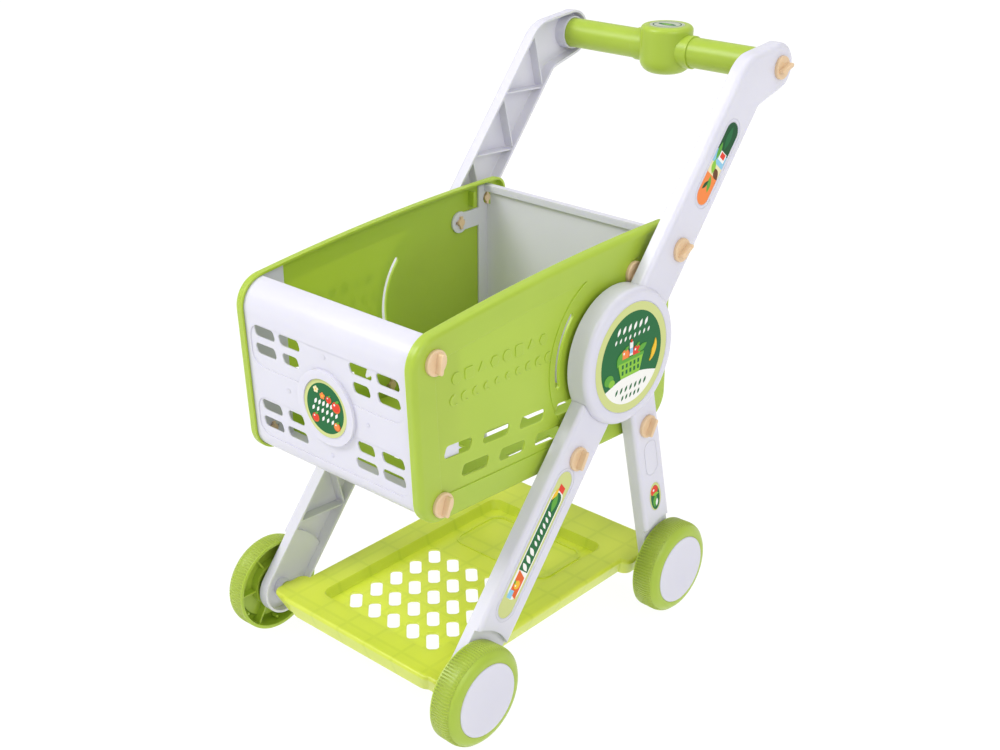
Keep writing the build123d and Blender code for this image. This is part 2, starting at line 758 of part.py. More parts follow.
# ------------------------------------------------------------------ handle bar
def build_handle_bar():
    """Hollow bar between the arms with a round boss in the middle."""
    bar = rod((bar_y, bar_z), -bar_end_x, bar_end_x, bar_radius)
    boss = Pos(0, bar_y, bar_hub_bottom) * Cylinder(
        bar_hub_radius, bar_hub_top - bar_hub_bottom, align=(Align.CENTER, Align.CENTER, Align.MIN))
    boss = fillet(boss.edges().sort_by(Axis.Z)[0], bar_hub_round_bottom)
    boss = fillet(boss.edges().sort_by(Axis.Z)[-1], bar_hub_round_top)
    bar += rod((bar_y, bar_z), -bar_sleeve_end_x, bar_sleeve_end_x, bar_sleeve_radius) + boss
    for side in (-1, 1):
        inner_end = side * bar_hub_radius
        outer_end = side * (bar_end_x - bar_wall)
        low_x, high_x = sorted((inner_end, outer_end))
        bar -= rod((bar_y, bar_z), low_x, high_x, bar_radius - bar_wall)
    bar -= both_mirrored(bayonet_hole((bar_y, bar_z), bar_end_x - bar_wall, bar_end_x))
    bar -= Pos(0, bar_y, bar_hub_top - sticker_recess) * Cylinder(
        handle_badge_radius + fit_gap, 5, align=(Align.CENTER, Align.CENTER, Align.MIN))
    return bar


# ------------------------------------------------------------------ tray
def tray_block(low_z, high_z, inset):
    """Solid of the tray's drafted outline between two heights, drawn in by inset."""
    def outline(z):
        share = (z - tray_bottom_z) / (tray_rim_z - tray_bottom_z)
        half = tray_foot_half_width + share * (tray_half_width - tray_foot_half_width) - inset
        lead = tray_draft * (1 - share) + inset
        front, rear = tray_front_y + lead, tray_rear_y - lead
        place = Pos(0, (front + rear) / 2, z)
        return place * RectangleRounded(2 * half, rear - front, tray_corner - inset)
    return loft([outline(low_z), outline(high_z)])


def tray_well(low_z, high_z, grown):
    """Sunk middle of the tray between two heights, grown outwards by the wall."""
    front, rear = tray_well_y
    middle = (front + rear) / 2

    def outline(z):
        spread = (z - tray_deck_z) * tray_well_draft + grown
        place = Pos(0, middle, z)
        return place * RectangleRounded(
            2 * (tray_well_half_width + spread), rear - front + 2 * spread, tray_well_corner + spread)
    return loft([outline(low_z), outline(high_z)])


def tray_ears(inset, high_z):
    """Four blocks that carry the tray's rim out to the legs, drawn in by inset."""
    def outline(low, high, z):
        lead = tray_ear_draft * (tray_rim_z - z) / (tray_rim_z - tray_bottom_z) + inset
        place = Pos(0, (low + high) / 2, z)
        half = leg_inner_x - fit_gap - lead
        return place * RectangleRounded(2 * half, high - low - 2 * lead, tray_ear_corner - inset)
    ears = Part()
    for low, high in (tray_front_ear_y, tray_rear_ear_y):
        ears += loft([outline(low, high, tray_bottom_z), outline(low, high, high_z)])
    return ears


def rounded_top(block, top_count):
    """Round the edges of a block's topmost faces."""
    tops = block.faces().sort_by(Axis.Z)[-top_count:]
    edges = [edge for top in tops for edge in top.outer_wire().edges()]
    return fillet(edges, tray_edge_round)


def tray_ribs():
    """Stiffening ribs under the tray's border and under its plain rear half."""
    well_front, well_rear = tray_well_y
    height = tray_rim_z - tray_rib_z
    ribs = Part()
    for index in range(tray_side_rib_count):
        y = well_front + (index + 0.5) * (well_rear - well_front) / tray_side_rib_count
        ribs += Pos(0, y, 0) * Box(2 * tray_half_width, rib_thickness, height)
    for index in range(tray_end_rib_count):
        x = (index - (tray_end_rib_count - 1) / 2) * 2 * tray_well_half_width / tray_end_rib_count
        ribs += Pos(x, (tray_front_y + tray_rear_y) / 2, 0) * Box(
            rib_thickness, tray_rear_y - tray_front_y, height)
    ribs = Pos(0, 0, tray_rib_z + height / 2) * ribs
    # no ribs under the slots in the deck's front half
    last_hole_y = tray_hole_front_y + (tray_hole_count - 0.5) * tray_hole_pitch_y
    reach = tray_rear_y - tray_front_y
    front_half = Pos(0, last_hole_y - reach, tray_rim_z) * Box(reach, 2 * reach, reach)
    return ribs - (tray_well(tray_rib_z, tray_rim_z, 0.0) & front_half)


def build_tray():
    """Drafted pan: a broad raised border, a sunk slotted deck and an ear at each leg."""
    tray = rounded_top(tray_block(tray_bottom_z, tray_rim_z, 0.0), 1)
    tray += rounded_top(tray_ears(0.0, tray_rim_z), 2)
    under = tray_block(tray_bottom_z, tray_rim_z - tray_wall, tray_wall)
    under += tray_ears(tray_wall, tray_rim_z - tray_wall)
    ribs = tray_ribs() & under
    under -= tray_well(tray_deck_z - tray_wall, tray_rim_z, tray_wall)
    tray -= under
    tray += ribs
    tray -= tray_well(tray_deck_z, tray_rim_z, 0.0)
    bead_low, bead_high = tray_bead_y
    bead = RectangleRounded(2 * tray_bead_half_width, bead_high - bead_low, tray_bead_corner)
    bead = bead - offset(bead, -tray_bead_width)
    tray += extrude(Pos(0, (bead_low + bead_high) / 2, tray_deck_z) * bead, amount=tray_bead_height)
    hole = Rot(0, 0, tray_hole_turn) * RectangleRounded(tray_hole_length, tray_hole_width, tray_hole_corner)
    first_x = -tray_hole_pitch_x * (tray_hole_count - 1) / 2
    holes = Sketch()
    for column in range(tray_hole_count):
        for row in range(tray_hole_count):
            place = Pos(first_x + column * tray_hole_pitch_x, tray_hole_front_y + row * tray_hole_pitch_y)
            holes += place * hole
    tray -= extrude(Pos(0, 0, tray_bottom_z) * holes, amount=tray_rim_z - tray_bottom_z)
    for axle_y in (front_axle_y, rear_axle_y):
        at = (axle_y, axle_z)
        clear = rod(at, tray_lug_x - 2 * lug_thickness, tray_lug_x, pin_lug_reach + loose_gap)
        tray -= both_mirrored(clear)
        tray += both_mirrored(rod(at, tray_lug_x, leg_inner_x - fit_gap, tray_boss_radius))
        tray -= both_mirrored(pin_hole(at, tray_lug_x, leg_inner_x))
    return tray


def pin_hole(at, x_from, x_to):
    """Round hole with two slanting side slots for an axle pin's lugs."""
    slot = Rectangle(2 * (pin_lug_reach + fit_gap), lug_width + 2 * fit_gap)
    slot = Pos(*at) * Rot(0, 0, pin_lug_turn) * slot
    return rod(at, x_from, x_to, pin_radius + fit_gap) + slab(slot, x_from, x_to)


# ------------------------------------------------------------------ wheels
def build_wheel(at):
    """Hollow wheel, open on its inner side, with radial ribs and a hub tube."""
    wheel = rod(at, wheel_inner_x, wheel_outer_x, wheel_radius)
    wheel = fillet(outer_edges(wheel), wheel_shoulder_round)
    hollow = rod(at, wheel_inner_x, wheel_outer_x - wheel_rim_wall, wheel_radius - wheel_rim_wall)
    hollow = fillet(outer_edges(hollow), wheel_shoulder_round - wheel_rim_wall)
    # the cup that takes the cap keeps an even wall inside the rounded shoulder
    hollow -= rod(at, wheel_web_x - wheel_web_wall, wheel_outer_x, cap_radius + fit_gap + wheel_web_wall)
    wheel -= hollow
    wheel -= rod(at, wheel_web_x, wheel_outer_x, cap_radius + fit_gap)
    ring_x = wheel_inner_x + wheel_ring_setback
    ring = rod(at, ring_x, wheel_web_x, wheel_ring_radius)
    ring -= rod(at, ring_x, wheel_web_x, wheel_ring_radius - wheel_web_wall)
    wheel += ring
    for index in range(wheel_rib_count):
        angle = math.radians(index * 360.0 / wheel_rib_count)
        reach = wheel_radius - wheel_rim_wall / 2
        tip = (at[0] + reach * math.cos(angle), at[1] + reach * math.sin(angle))
        wheel += slab(strap(at, tip, rib_thickness / 2), wheel_inner_x + wheel_rib_setback, wheel_web_x)
    wheel += rod(at, wheel_inner_x, wheel_web_x, wheel_hub_radius)
    wheel -= rod(at, wheel_inner_x, wheel_web_x, pin_radius + running_gap)
    for peg_at in cap_pegs(at):
        wheel -= rod(peg_at, wheel_web_x - wheel_web_wall, wheel_web_x, cap_peg_radius + fit_gap)
    return wheel


def cap_pegs(at):
    """Centres of the pegs that hold a cap in its wheel."""
    centres = []
    for index in range(cap_peg_count):
        angle = math.radians(cap_peg_turn + index * 360.0 / cap_peg_count)
        centres.append((at[0] + cap_peg_circle * math.cos(angle), at[1] + cap_peg_circle * math.sin(angle)))
    return centres


def build_cap(at):
    """Dished white cap that closes the wheel's outer side."""
    cap = rod(at, wheel_web_x + fit_gap, cap_outer_x, cap_radius)
    cap = fillet(outer_edges(cap), cap_edge_round)
    # shallow spherical dish, cap_dish_radius across its edge
    ball = (cap_dish_radius ** 2 + cap_dish_depth ** 2) / (2 * cap_dish_depth)
    cap -= Pos(cap_outer_x - cap_dish_depth + ball, *at) * Sphere(ball)
    roof_x = cap_outer_x - cap_dish_depth - cap_wall
    cap -= rod(at, wheel_web_x + fit_gap, roof_x, cap_radius - cap_wall)
    for peg_at in cap_pegs(at):
        cap += rod(peg_at, wheel_web_x - wheel_web_wall, roof_x, cap_peg_radius)
    return cap


def build_pin(at):
    """Axle pin: head outside the wheel, lugs locked behind the tray's ear."""
    grip = tray_lug_x
    pin = rod(at, grip - fit_gap - lug_thickness, wheel_web_x + fit_gap + pin_head, pin_radius)
    pin += rod(at, wheel_web_x + fit_gap, wheel_web_x + fit_gap + pin_head, pin_head_radius)
    lug = Pos(*at) * Rot(0, 0, pin_lug_turn) * Rectangle(lug_width, 2 * pin_lug_reach)
    return pin + slab(lug, grip - fit_gap - lug_thickness, grip - fit_gap)


# ------------------------------------------------------------------ build and save
both_sides("basket_side_panel", build_side_panel())
save("basket_front_panel", build_front_panel())
save("basket_back_panel", build_back_panel())
save("basket_floor", build_floor())
both_sides("handle_arm", build_handle_arm())
both_sides("front_leg", build_front_leg())
both_sides("rear_leg", build_rear_leg())
save("handle_bar", build_handle_bar())
save("tray", build_tray())
both_sides("basket_knobs", panel_knobs())
both_sides("frame_knobs", frame_knobs())

for place, axle_y in (("front", front_axle_y), ("rear", rear_axle_y)):
    axle_at = (axle_y, axle_z)
    both_sides(f"wheel_{place}", build_wheel(axle_at))
    both_sides(f"wheel_cap_{place}", build_cap(axle_at))
    both_sides(f"axle_pin_{place}", build_pin(axle_at))

stickers = {
    "hub_label": (hub_circle(hub_sticker_radius), drum_outer_x),
    "arm_label": (arm_sticker_outline(), arm_outer_x),
    "front_leg_label": (leg_sticker_outline(), leg_outer_x),
    "rear_leg_label": (rear_sticker_outline(), leg_outer_x),
}
for name, (outline, face_x) in stickers.items():
    seat_x = face_x - sticker_recess
    both_sides(name, slab(outline, seat_x, seat_x + sticker_thickness))

badge_seat_y = badge_plane_y + sticker_recess
front_badge = front_plane(0, badge_z, Circle(badge_radius), badge_seat_y, badge_seat_y - sticker_thickness)
save("front_badge", front_badge)
handle_badge = Pos(0, bar_y, bar_hub_top - sticker_recess) * Cylinder(
    handle_badge_radius, sticker_thickness, align=(Align.CENTER, Align.CENTER, Align.MIN))
save("handle_badge", handle_badge)
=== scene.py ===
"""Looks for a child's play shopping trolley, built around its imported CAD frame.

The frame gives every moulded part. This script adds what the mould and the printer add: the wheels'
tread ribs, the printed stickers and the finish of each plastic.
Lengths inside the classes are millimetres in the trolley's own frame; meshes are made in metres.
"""

import json
import logging
import math
from dataclasses import dataclass
from enum import Enum

import bmesh
import bpy
from mathutils import Matrix, Vector

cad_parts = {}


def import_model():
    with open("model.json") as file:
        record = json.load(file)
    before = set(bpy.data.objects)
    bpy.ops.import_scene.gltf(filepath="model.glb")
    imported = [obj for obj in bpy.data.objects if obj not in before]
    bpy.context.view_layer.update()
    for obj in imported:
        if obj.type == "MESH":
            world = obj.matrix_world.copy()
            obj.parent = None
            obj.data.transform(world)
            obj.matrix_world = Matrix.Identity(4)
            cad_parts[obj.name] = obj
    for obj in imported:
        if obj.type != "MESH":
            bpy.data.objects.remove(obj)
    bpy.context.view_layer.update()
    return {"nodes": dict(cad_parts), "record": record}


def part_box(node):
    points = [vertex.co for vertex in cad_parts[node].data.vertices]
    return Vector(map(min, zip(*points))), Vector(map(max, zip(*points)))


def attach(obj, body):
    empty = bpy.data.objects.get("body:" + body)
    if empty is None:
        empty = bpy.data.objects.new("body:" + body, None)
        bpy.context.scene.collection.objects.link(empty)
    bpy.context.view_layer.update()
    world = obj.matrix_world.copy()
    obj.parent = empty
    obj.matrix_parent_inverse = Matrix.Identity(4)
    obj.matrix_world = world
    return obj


LOG = logging.getLogger("trolley")
MM = 0.001
INK_ATTRIBUTE = "ink"
SOLID_WHITE = (1.0, 1.0, 1.0, 1.0)
MIX_A, MIX_B, MIX_COLOUR = 6, 7, 2  # colour sockets of a Mix node: its two inputs and its output

Point = tuple[float, float]
Outline = list[Point]


# -------- sides and ends
class Side(Enum):
    """Side of the trolley, by its sign along X."""

    LEFT = 1
    RIGHT = -1

    @property
    def word(self) -> str:
        """The side as nodes and pieces spell it."""
        return self.name.lower()


class End(Enum):
    """End of the trolley, as nodes and pieces spell it."""

    FRONT = "front"
    REAR = "rear"


# -------- small helpers
def linear(hex_code: str) -> tuple[float, float, float, float]:
    """Turn an sRGB hex colour into linear light.

    Args:
        hex_code: Six hex digits with a leading hash.

    Returns:
        Linear red, green, blue and an alpha of one.
    """
    values = [int(hex_code[i : i + 2], 16) / 255 for i in (1, 3, 5)]
    out = [v / 12.92 if v <= 0.04045 else ((v + 0.055) / 1.055) ** 2.4 for v in values]
    return out[0], out[1], out[2], 1.0


def add_node(
    tree: bpy.types.NodeTree,
    kind: str,
    links: dict[str | int, bpy.types.NodeSocket] | None = None,
    values: dict[str | int, object] | None = None,
    **settings: object,
) -> bpy.types.Node:
    """Add one node to a tree with its settings, socket values and incoming links.

    Args:
        tree: Tree that gets the node.
        kind: Blender's class name of the node.
        links: Input socket name or index to the output that feeds it.
        values: Input socket name or index to its fixed value.
        **settings: Properties of the node itself.

    Returns:
        The new node.
    """
    node = tree.nodes.new(kind)
    for name, value in settings.items():
        setattr(node, name, value)
    for socket, value in (values or {}).items():
        node.inputs[socket].default_value = value
    for socket, source in (links or {}).items():
        tree.links.new(source, node.inputs[socket])
    return node


def new_material(name: str) -> tuple[bpy.types.Material, bpy.types.NodeTree]:
    """Make an empty node material.

    Args:
        name: Name of the material.

    Returns:
        The material and its cleared node tree.
    """
    material = bpy.data.materials.new(name)
    material.use_nodes = True
    material.node_tree.nodes.clear()
    return material, material.node_tree


def put_in_scene(name: str, data: bpy.types.ID) -> bpy.types.Object:
    """Make an object of a mesh, a lamp or a camera and link it into the scene.

    Args:
        name: Name of the object.
        data: What it holds.

    Returns:
        The new object, at the origin.
    """
    holder = bpy.data.objects.new(name, data)
    bpy.context.scene.collection.objects.link(holder)
    return holder


def mesh_object(
    name: str, mesh: bpy.types.Mesh, *finishes: bpy.types.Material
) -> bpy.types.Object:
    """Link a mesh into the scene as an object at the origin.

    Args:
        name: Piece name.
        mesh: Finished mesh, already in place.
        *finishes: Materials in slot order.

    Returns:
        The new object.
    """
    piece = put_in_scene(name, mesh)
    for finish in finishes:
        mesh.materials.append(finish)
    return piece


def spot_on_circle(at: Point, radius: float, angle: float) -> Point:
    """Place at an angle in radians on a circle."""
    return at[0] + radius * math.cos(angle), at[1] + radius * math.sin(angle)


def skin_rings(work: bmesh.types.BMesh, rings: list[list[bmesh.types.BMVert]]) -> None:
    """Join rings of equal count into one closed skin with flat ends.

    Args:
        work: Mesh being built.
        rings: Rings of its vertices, in order.
    """
    for one, two in zip(rings, rings[1:]):
        for i in range(len(one)):
            j = (i + 1) % len(one)
            work.faces.new((one[i], one[j], two[j], two[i]))
    work.faces.new(rings[0])
    work.faces.new(rings[-1][::-1])


def finished_mesh(name: str, work: bmesh.types.BMesh, smooth: bool = False) -> bpy.types.Mesh:
    """Turn a work mesh into a plain one with its faces outwards, and free it.

    Args:
        name: Name of the mesh.
        work: Mesh being built.
        smooth: Whether its faces are shaded smooth.

    Returns:
        The finished mesh.
    """
    mesh = bpy.data.meshes.new(name)
    bmesh.ops.recalc_face_normals(work, faces=work.faces[:])
    for face in work.faces:
        face.smooth = smooth
    work.to_mesh(mesh)
    work.free()
    return mesh


# -------- finishes
@dataclass(frozen=True)
class MouldedPolypropylene:
    """Injection-moulded polypropylene: satin gloss, faint orange peel, light scattered inside."""

    name: str
    colour: str
    flow_colour: str
    roughness: float
    scatter: float
    scatter_depth_mm: float
    transmission: float = 0.0
    flow_mm: float = 60.0
    peel_mm: float = 1.4
    peel_height_mm: float = 0.012
    peel_strength: float = 0.35
    edge_radius_mm: float = 0.5
    edge_samples: int = 4
    smoother: float = 0.04
    rougher: float = 0.05
    ior: float = 1.49
    scatter_tint: tuple[float, float, float] = (1.0, 1.0, 0.7)

    def build(self) -> bpy.types.Material:
        """Build the material.

        Returns:
            A node material on Object coordinates.
        """
        material, tree = new_material(self.name)
        where = add_node(tree, "ShaderNodeTexCoord").outputs["Object"]
        # slow change of shade where the melt flowed and cooled
        flow = add_node(
            tree, "ShaderNodeTexNoise", {"Vector": where},
            {"Scale": 1 / (self.flow_mm * MM), "Detail": 2.0, "Roughness": 0.45},
        )
        shade = add_node(tree, "ShaderNodeMix", {"Factor": flow.outputs["Fac"]}, data_type="RGBA")
        shade.inputs[MIX_A].default_value = linear(self.colour)
        shade.inputs[MIX_B].default_value = linear(self.flow_colour)
        # orange peel of the polished mould, drawn a little coarser than life so that it shows
        peel = add_node(
            tree, "ShaderNodeTexNoise", {"Vector": where},
            {"Scale": 1 / (self.peel_mm * MM), "Detail": 1.0},
        )
        gloss = add_node(
            tree, "ShaderNodeMapRange", {"Value": peel.outputs["Fac"]},
            {"To Min": self.roughness - self.smoother, "To Max": self.roughness + self.rougher},
        )
        soft_edge = add_node(
            tree, "ShaderNodeBevel", None, {"Radius": self.edge_radius_mm * MM},
            samples=self.edge_samples,
        )
        relief = add_node(
            tree, "ShaderNodeBump",
            {"Height": peel.outputs["Fac"], "Normal": soft_edge.outputs["Normal"]},
            {"Strength": self.peel_strength, "Distance": self.peel_height_mm * MM},
        )
        shader = add_node(
            tree, "ShaderNodeBsdfPrincipled",
            {
                "Base Color": self.tint(tree, where, shade.outputs[MIX_COLOUR]),
                "Roughness": gloss.outputs["Result"],
                "Normal": relief.outputs["Normal"],
            },
            {
                "IOR": self.ior,
                "Subsurface Weight": self.scatter,
                "Subsurface Scale": self.scatter_depth_mm * MM,
                "Subsurface Radius": self.scatter_tint,
                "Transmission Weight": self.transmission,
            },
        )
        add_node(tree, "ShaderNodeOutputMaterial", {"Surface": shader.outputs["BSDF"]})
        return material

    def tint(
        self, tree: bpy.types.NodeTree, where: bpy.types.NodeSocket, colour: bpy.types.NodeSocket
    ) -> bpy.types.NodeSocket:
        """Change the plastic's colour from place to place; plain plastic keeps it.

        Args:
            tree: Tree of the material.
            where: Object coordinates in metres.
            colour: Colour of the plastic so far.

        Returns:
            The colour to use.
        """
        return colour


@dataclass(frozen=True)
class TranslucentWithPaintedRibShade(MouldedPolypropylene):
    """Translucent moulding with painted shade: darker lines painted over its hidden stiffening ribs
    stand in for the shade they throw through its skin.
    """

    # painted shade: colour of the darker lines painted over the hidden ribs
    rib_shade_colour: str = "#A9C62E"
    rib_half_mm: float = 0.9
    rib_soft_mm: float = 1.6
    rib_shade_strength: float = 0.16
    across_pitch_mm: float = 36.0
    across_start_mm: float = 18.0
    along_pitch_mm: float = 41.0
    along_start_mm: float = -11.25

    def tint(
        self, tree: bpy.types.NodeTree, where: bpy.types.NodeSocket, colour: bpy.types.NodeSocket
    ) -> bpy.types.NodeSocket:
        """Paint shade over each rib, at the ribs' real pitch: darker lines that stand in for the
        ribs' shade seen through the deck.

        Args:
            tree: Tree of the material.
            where: Object coordinates in metres.
            colour: Colour of the plastic so far.

        Returns:
            The colour with the painted rib shade.
        """
        parts = add_node(tree, "ShaderNodeSeparateXYZ", {"Vector": where})
        rib_shade_lines = []
        for axis, pitch, start in (
            ("X", self.across_pitch_mm, self.across_start_mm),
            ("Y", self.along_pitch_mm, self.along_start_mm),
        ):
            moved = add_node(
                tree, "ShaderNodeMath", {0: parts.outputs[axis]}, {1: start * MM},
                operation="SUBTRACT",
            )
            away = add_node(
                tree, "ShaderNodeMath", {0: moved.outputs["Value"]}, {1: pitch / 2 * MM},
                operation="PINGPONG",
            )
            line = add_node(
                tree, "ShaderNodeMapRange", {"Value": away.outputs["Value"]},
                {
                    "From Min": self.rib_half_mm * MM,
                    "From Max": (self.rib_half_mm + self.rib_soft_mm) * MM,
                    "To Min": self.rib_shade_strength,
                    "To Max": 0.0,
                },
            )
            rib_shade_lines.append(line.outputs["Result"])
        # painted shade: the stronger of the two line masks mixes the colour towards the rib shade
        # colour
        rib_shade_mask = add_node(tree, "ShaderNodeMath", {0: rib_shade_lines[0], 1: rib_shade_lines[1]}, operation="MAXIMUM")
        rib_shaded = add_node(
            tree, "ShaderNodeMix", {"Factor": rib_shade_mask.outputs["Value"], MIX_A: colour},
            {MIX_B: linear(self.rib_shade_colour)}, data_type="RGBA",
        )
        return rib_shaded.outputs[MIX_COLOUR]


@dataclass(frozen=True)
class PrintedVinyl:
    """Satin vinyl sticker printed in halftone: its inks are in the mesh's own colour attribute."""

    name: str = "printed_vinyl"
    dot_mm: float = 0.5
    dot_stray: float = 0.15
    dot_reach: float = 0.7
    light_ink: float = 1.04
    heavy_ink: float = 0.93
    ior: float = 1.5
    roughness: float = 0.5
    specular: float = 0.2

    def build(self) -> bpy.types.Material:
        """Build the material.

        Returns:
            A node material that reads the ink attribute.
        """
        material, tree = new_material(self.name)
        where = add_node(tree, "ShaderNodeTexCoord").outputs["Object"]
        ink = add_node(tree, "ShaderNodeAttribute", attribute_name=INK_ATTRIBUTE)
        # halftone dots, drawn at half a millimetre so that they still show
        dots = add_node(
            tree, "ShaderNodeTexVoronoi", {"Vector": where},
            {"Scale": 1 / (self.dot_mm * MM), "Randomness": self.dot_stray},
        )
        weight = add_node(
            tree, "ShaderNodeMapRange", {"Value": dots.outputs["Distance"]},
            {"From Max": self.dot_reach, "To Min": self.light_ink, "To Max": self.heavy_ink},
        )
        printed = add_node(
            tree, "ShaderNodeVectorMath",
            {0: ink.outputs["Color"], 1: weight.outputs["Result"]}, operation="MULTIPLY",
        )
        shader = add_node(
            tree, "ShaderNodeBsdfPrincipled", {"Base Color": printed.outputs["Vector"]},
            {"Roughness": self.roughness, "IOR": self.ior, "Specular IOR Level": self.specular},
        )
        add_node(tree, "ShaderNodeOutputMaterial", {"Surface": shader.outputs["BSDF"]})
        return material


@dataclass(frozen=True)
class OpalTable:
    """Opal acrylic table lit from below, which drowns the shadows and lights the undersides."""

    name: str = "opal_acrylic"
    colour: str = "#5C5C5C"
    glow: float = 0.95
    roughness: float = 0.9
    specular: float = 0.1
    tooth_mm: float = 2.5
    tooth_height_mm: float = 0.1
    tooth_strength: float = 0.05

    def build(self) -> bpy.types.Material:
        """Build the material.

        Returns:
            A matt material with a faint tooth that gives its own white light.
        """
        material, tree = new_material(self.name)
        where = add_node(tree, "ShaderNodeTexCoord").outputs["Object"]
        tooth = add_node(
            tree, "ShaderNodeTexNoise", {"Vector": where},
            {"Scale": 1 / (self.tooth_mm * MM), "Detail": 2.0},
        )
        relief = add_node(
            tree, "ShaderNodeBump", {"Height": tooth.outputs["Fac"]},
            {"Strength": self.tooth_strength, "Distance": self.tooth_height_mm * MM},
        )
        shader = add_node(
            tree, "ShaderNodeBsdfPrincipled", {"Normal": relief.outputs["Normal"]},
            {
                "Base Color": linear(self.colour),
                "Roughness": self.roughness,
                "Specular IOR Level": self.specular,
                "Emission Color": SOLID_WHITE,
                "Emission Strength": self.glow,
            },
        )
        add_node(tree, "ShaderNodeOutputMaterial", {"Surface": shader.outputs["BSDF"]})
        return material


@dataclass(frozen=True)
class Finishes:
    """Every finish on the trolley, by what it is made of."""

    white: bpy.types.Material
    lime: bpy.types.Material
    tray: bpy.types.Material
    cream: bpy.types.Material
    vinyl: bpy.types.Material

    @classmethod
    def build(cls) -> "Finishes":
        """Build all the finishes once.

        Returns:
            The finishes.
        """
        return cls(
            # glossy natural-white polypropylene: cool white with a little light inside its walls
            white=MouldedPolypropylene(
                "white_polypropylene", "#DAD9E5", "#D4D3DE", 0.3, 0.35, 5.0,
            ).build(),
            # lime masterbatch polypropylene: satin, paler where the light grazes it
            lime=MouldedPolypropylene(
                "lime_polypropylene", "#ABC342", "#A4BD3A", 0.34, 0.5, 6.0,
            ).build(),
            # unpigmented polypropylene tinted lime: light passes through the thin deck, and painted
            # shade lines mark the ribs beneath it
            tray=TranslucentWithPaintedRibShade(
                "translucent_lime_polypropylene", "#DDEE50", "#D4E746", 0.3, 0.7, 12.0,
                transmission=0.12,
            ).build(),
            # cream polypropylene twist-locks and pins, a little mottled
            cream=MouldedPolypropylene(
                "cream_polypropylene", "#E6CBA8", "#DCBC94", 0.38, 0.2, 3.0, flow_mm=9.0,
            ).build(),
            vinyl=PrintedVinyl().build(),
        )


# -------- flat print
class Ink(Enum):
    """Ink colours of the printed stickers, as sRGB hex."""

    PALE_GREEN = "#CFD68C"
    DARK_GREEN = "#1F6A3A"
    DEEP_GREEN = "#17522C"
    LEAF = "#5FA83A"
    LIME = "#8CC63E"
    WHITE = "#F4F3EE"
    ORANGE = "#F58A45"
    DEEP_ORANGE = "#E4662A"
    RED = "#E2402C"
    YELLOW = "#F2C230"
    BLUE = "#8FC8E4"
    BROWN = "#6B4226"
    CREAM = "#EFE3B4"
    GREY = "#B9C0AE"


@dataclass(frozen=True)
class Shape:
    """One printed shape: its outline and its ink."""

    outline: Outline
    ink: Ink


def turned(rim: Outline, at: Point, turn: float) -> Outline:
    """Turn an outline by an angle in degrees and carry it to its centre."""
    cos_t, sin_t = math.cos(math.radians(turn)), math.sin(math.radians(turn))
    return [(at[0] + a * cos_t - b * sin_t, at[1] + a * sin_t + b * cos_t) for a, b in rim]


def disc(
    at: Point, radius: float, squash: float = 1.0, turn: float = 0.0, count: int = 28
) -> Outline:
    """Outline of a disc or an ellipse.

    Args:
        at: Centre.
        radius: Half of the long axis.
        squash: Short axis over long axis.
        turn: Turn of the long axis in degrees.
        count: Number of points.

    Returns:
        Points in order, anticlockwise.
    """
    rim = []
    for index in range(count):
        angle = 2 * math.pi * index / count
        rim.append((radius * math.cos(angle), radius * squash * math.sin(angle)))
    return turned(rim, at, turn)


def leaf(at: Point, length: float, width: float, turn: float) -> Outline:
    """Outline of a pointed leaf centred on a point.

    Args:
        at: Centre.
        length: Tip to tip.
        width: Widest part.
        turn: Direction of its length in degrees.

    Returns:
        Points in order.
    """
    count = 9
    rim = []
    for edge in (1, -1):
        for index in range(count):
            t = index / count if edge > 0 else 1 - index / count
            rim.append((length * (t - 0.5), edge * width / 2 * math.sin(math.pi * t)))
    return turned(rim, at, turn)


def crescent(at: Point, radius: float, start: float, end: float, width: float) -> Outline:
    """Outline of a banana: an arc that thins to both ends.

    Args:
        at: Centre of the arc.
        radius: Radius of its outer edge.
        start: Angle of one end in degrees.
        end: Angle of the other end in degrees.
        width: Width at its middle.

    Returns:
        Points in order.
    """
    count = 12
    tip_share, belly_share = 0.15, 0.85
    outer, inner = [], []
    for index in range(count + 1):
        t = index / count
        angle = math.radians(start + t * (end - start))
        depth = tip_share * width + belly_share * width * math.sin(math.pi * t)
        outer.append(spot_on_circle(at, radius, angle))
        inner.append(spot_on_circle(at, radius - depth, angle))
    return outer + inner[::-1]


def quad(at: Point, width: float, height: float, lean: float = 0.0, taper: float = 0.0) -> Outline:
    """Outline of a four-sided shape centred on a point.

    Args:
        at: Centre.
        width: Width at mid height.
        height: Height.
        lean: Sideways shift of its top.
        taper: How much wider the top is on each side.

    Returns:
        Four points, anticlockwise.
    """
    w, h = width / 2, height / 2
    x, y = at
    return [
        (x - w + taper - lean, y - h), (x + w - taper - lean, y - h),
        (x + w + taper + lean, y + h), (x - w - taper + lean, y + h),
    ]


def pill(
    half_length: float, half_width: float, low: float | None = None, high: float | None = None
) -> Outline:
    """Outline of a stadium along the first axis, or of the stretch of it between two places.

    Args:
        half_length: Half of its whole length.
        half_width: Half of its width.
        low: Start of the stretch, or None for the whole.
        high: End of the stretch, or None for the whole.

    Returns:
        Points in order.
    """
    start = -half_length if low is None else low
    stop = half_length if high is None else high
    count = 24
    shortest = 1e-4
    top, bottom = [], []
    for index in range(count + 1):
        # closer points near the round ends
        t = 0.5 - 0.5 * math.cos(math.pi * index / count)
        a = start + t * (stop - start)
        past = max(0.0, abs(a) - (half_length - half_width))
        b = math.sqrt(max(0.0, half_width**2 - past**2))
        top.append((a, b))
        bottom.append((a, -b))
    ring = bottom + top[::-1]
    tidy = [ring[0]]
    for point in ring[1:]:
        if math.dist(point, tidy[-1]) > shortest:
            tidy.append(point)
    return tidy if math.dist(tidy[0], tidy[-1]) > shortest else tidy[:-1]


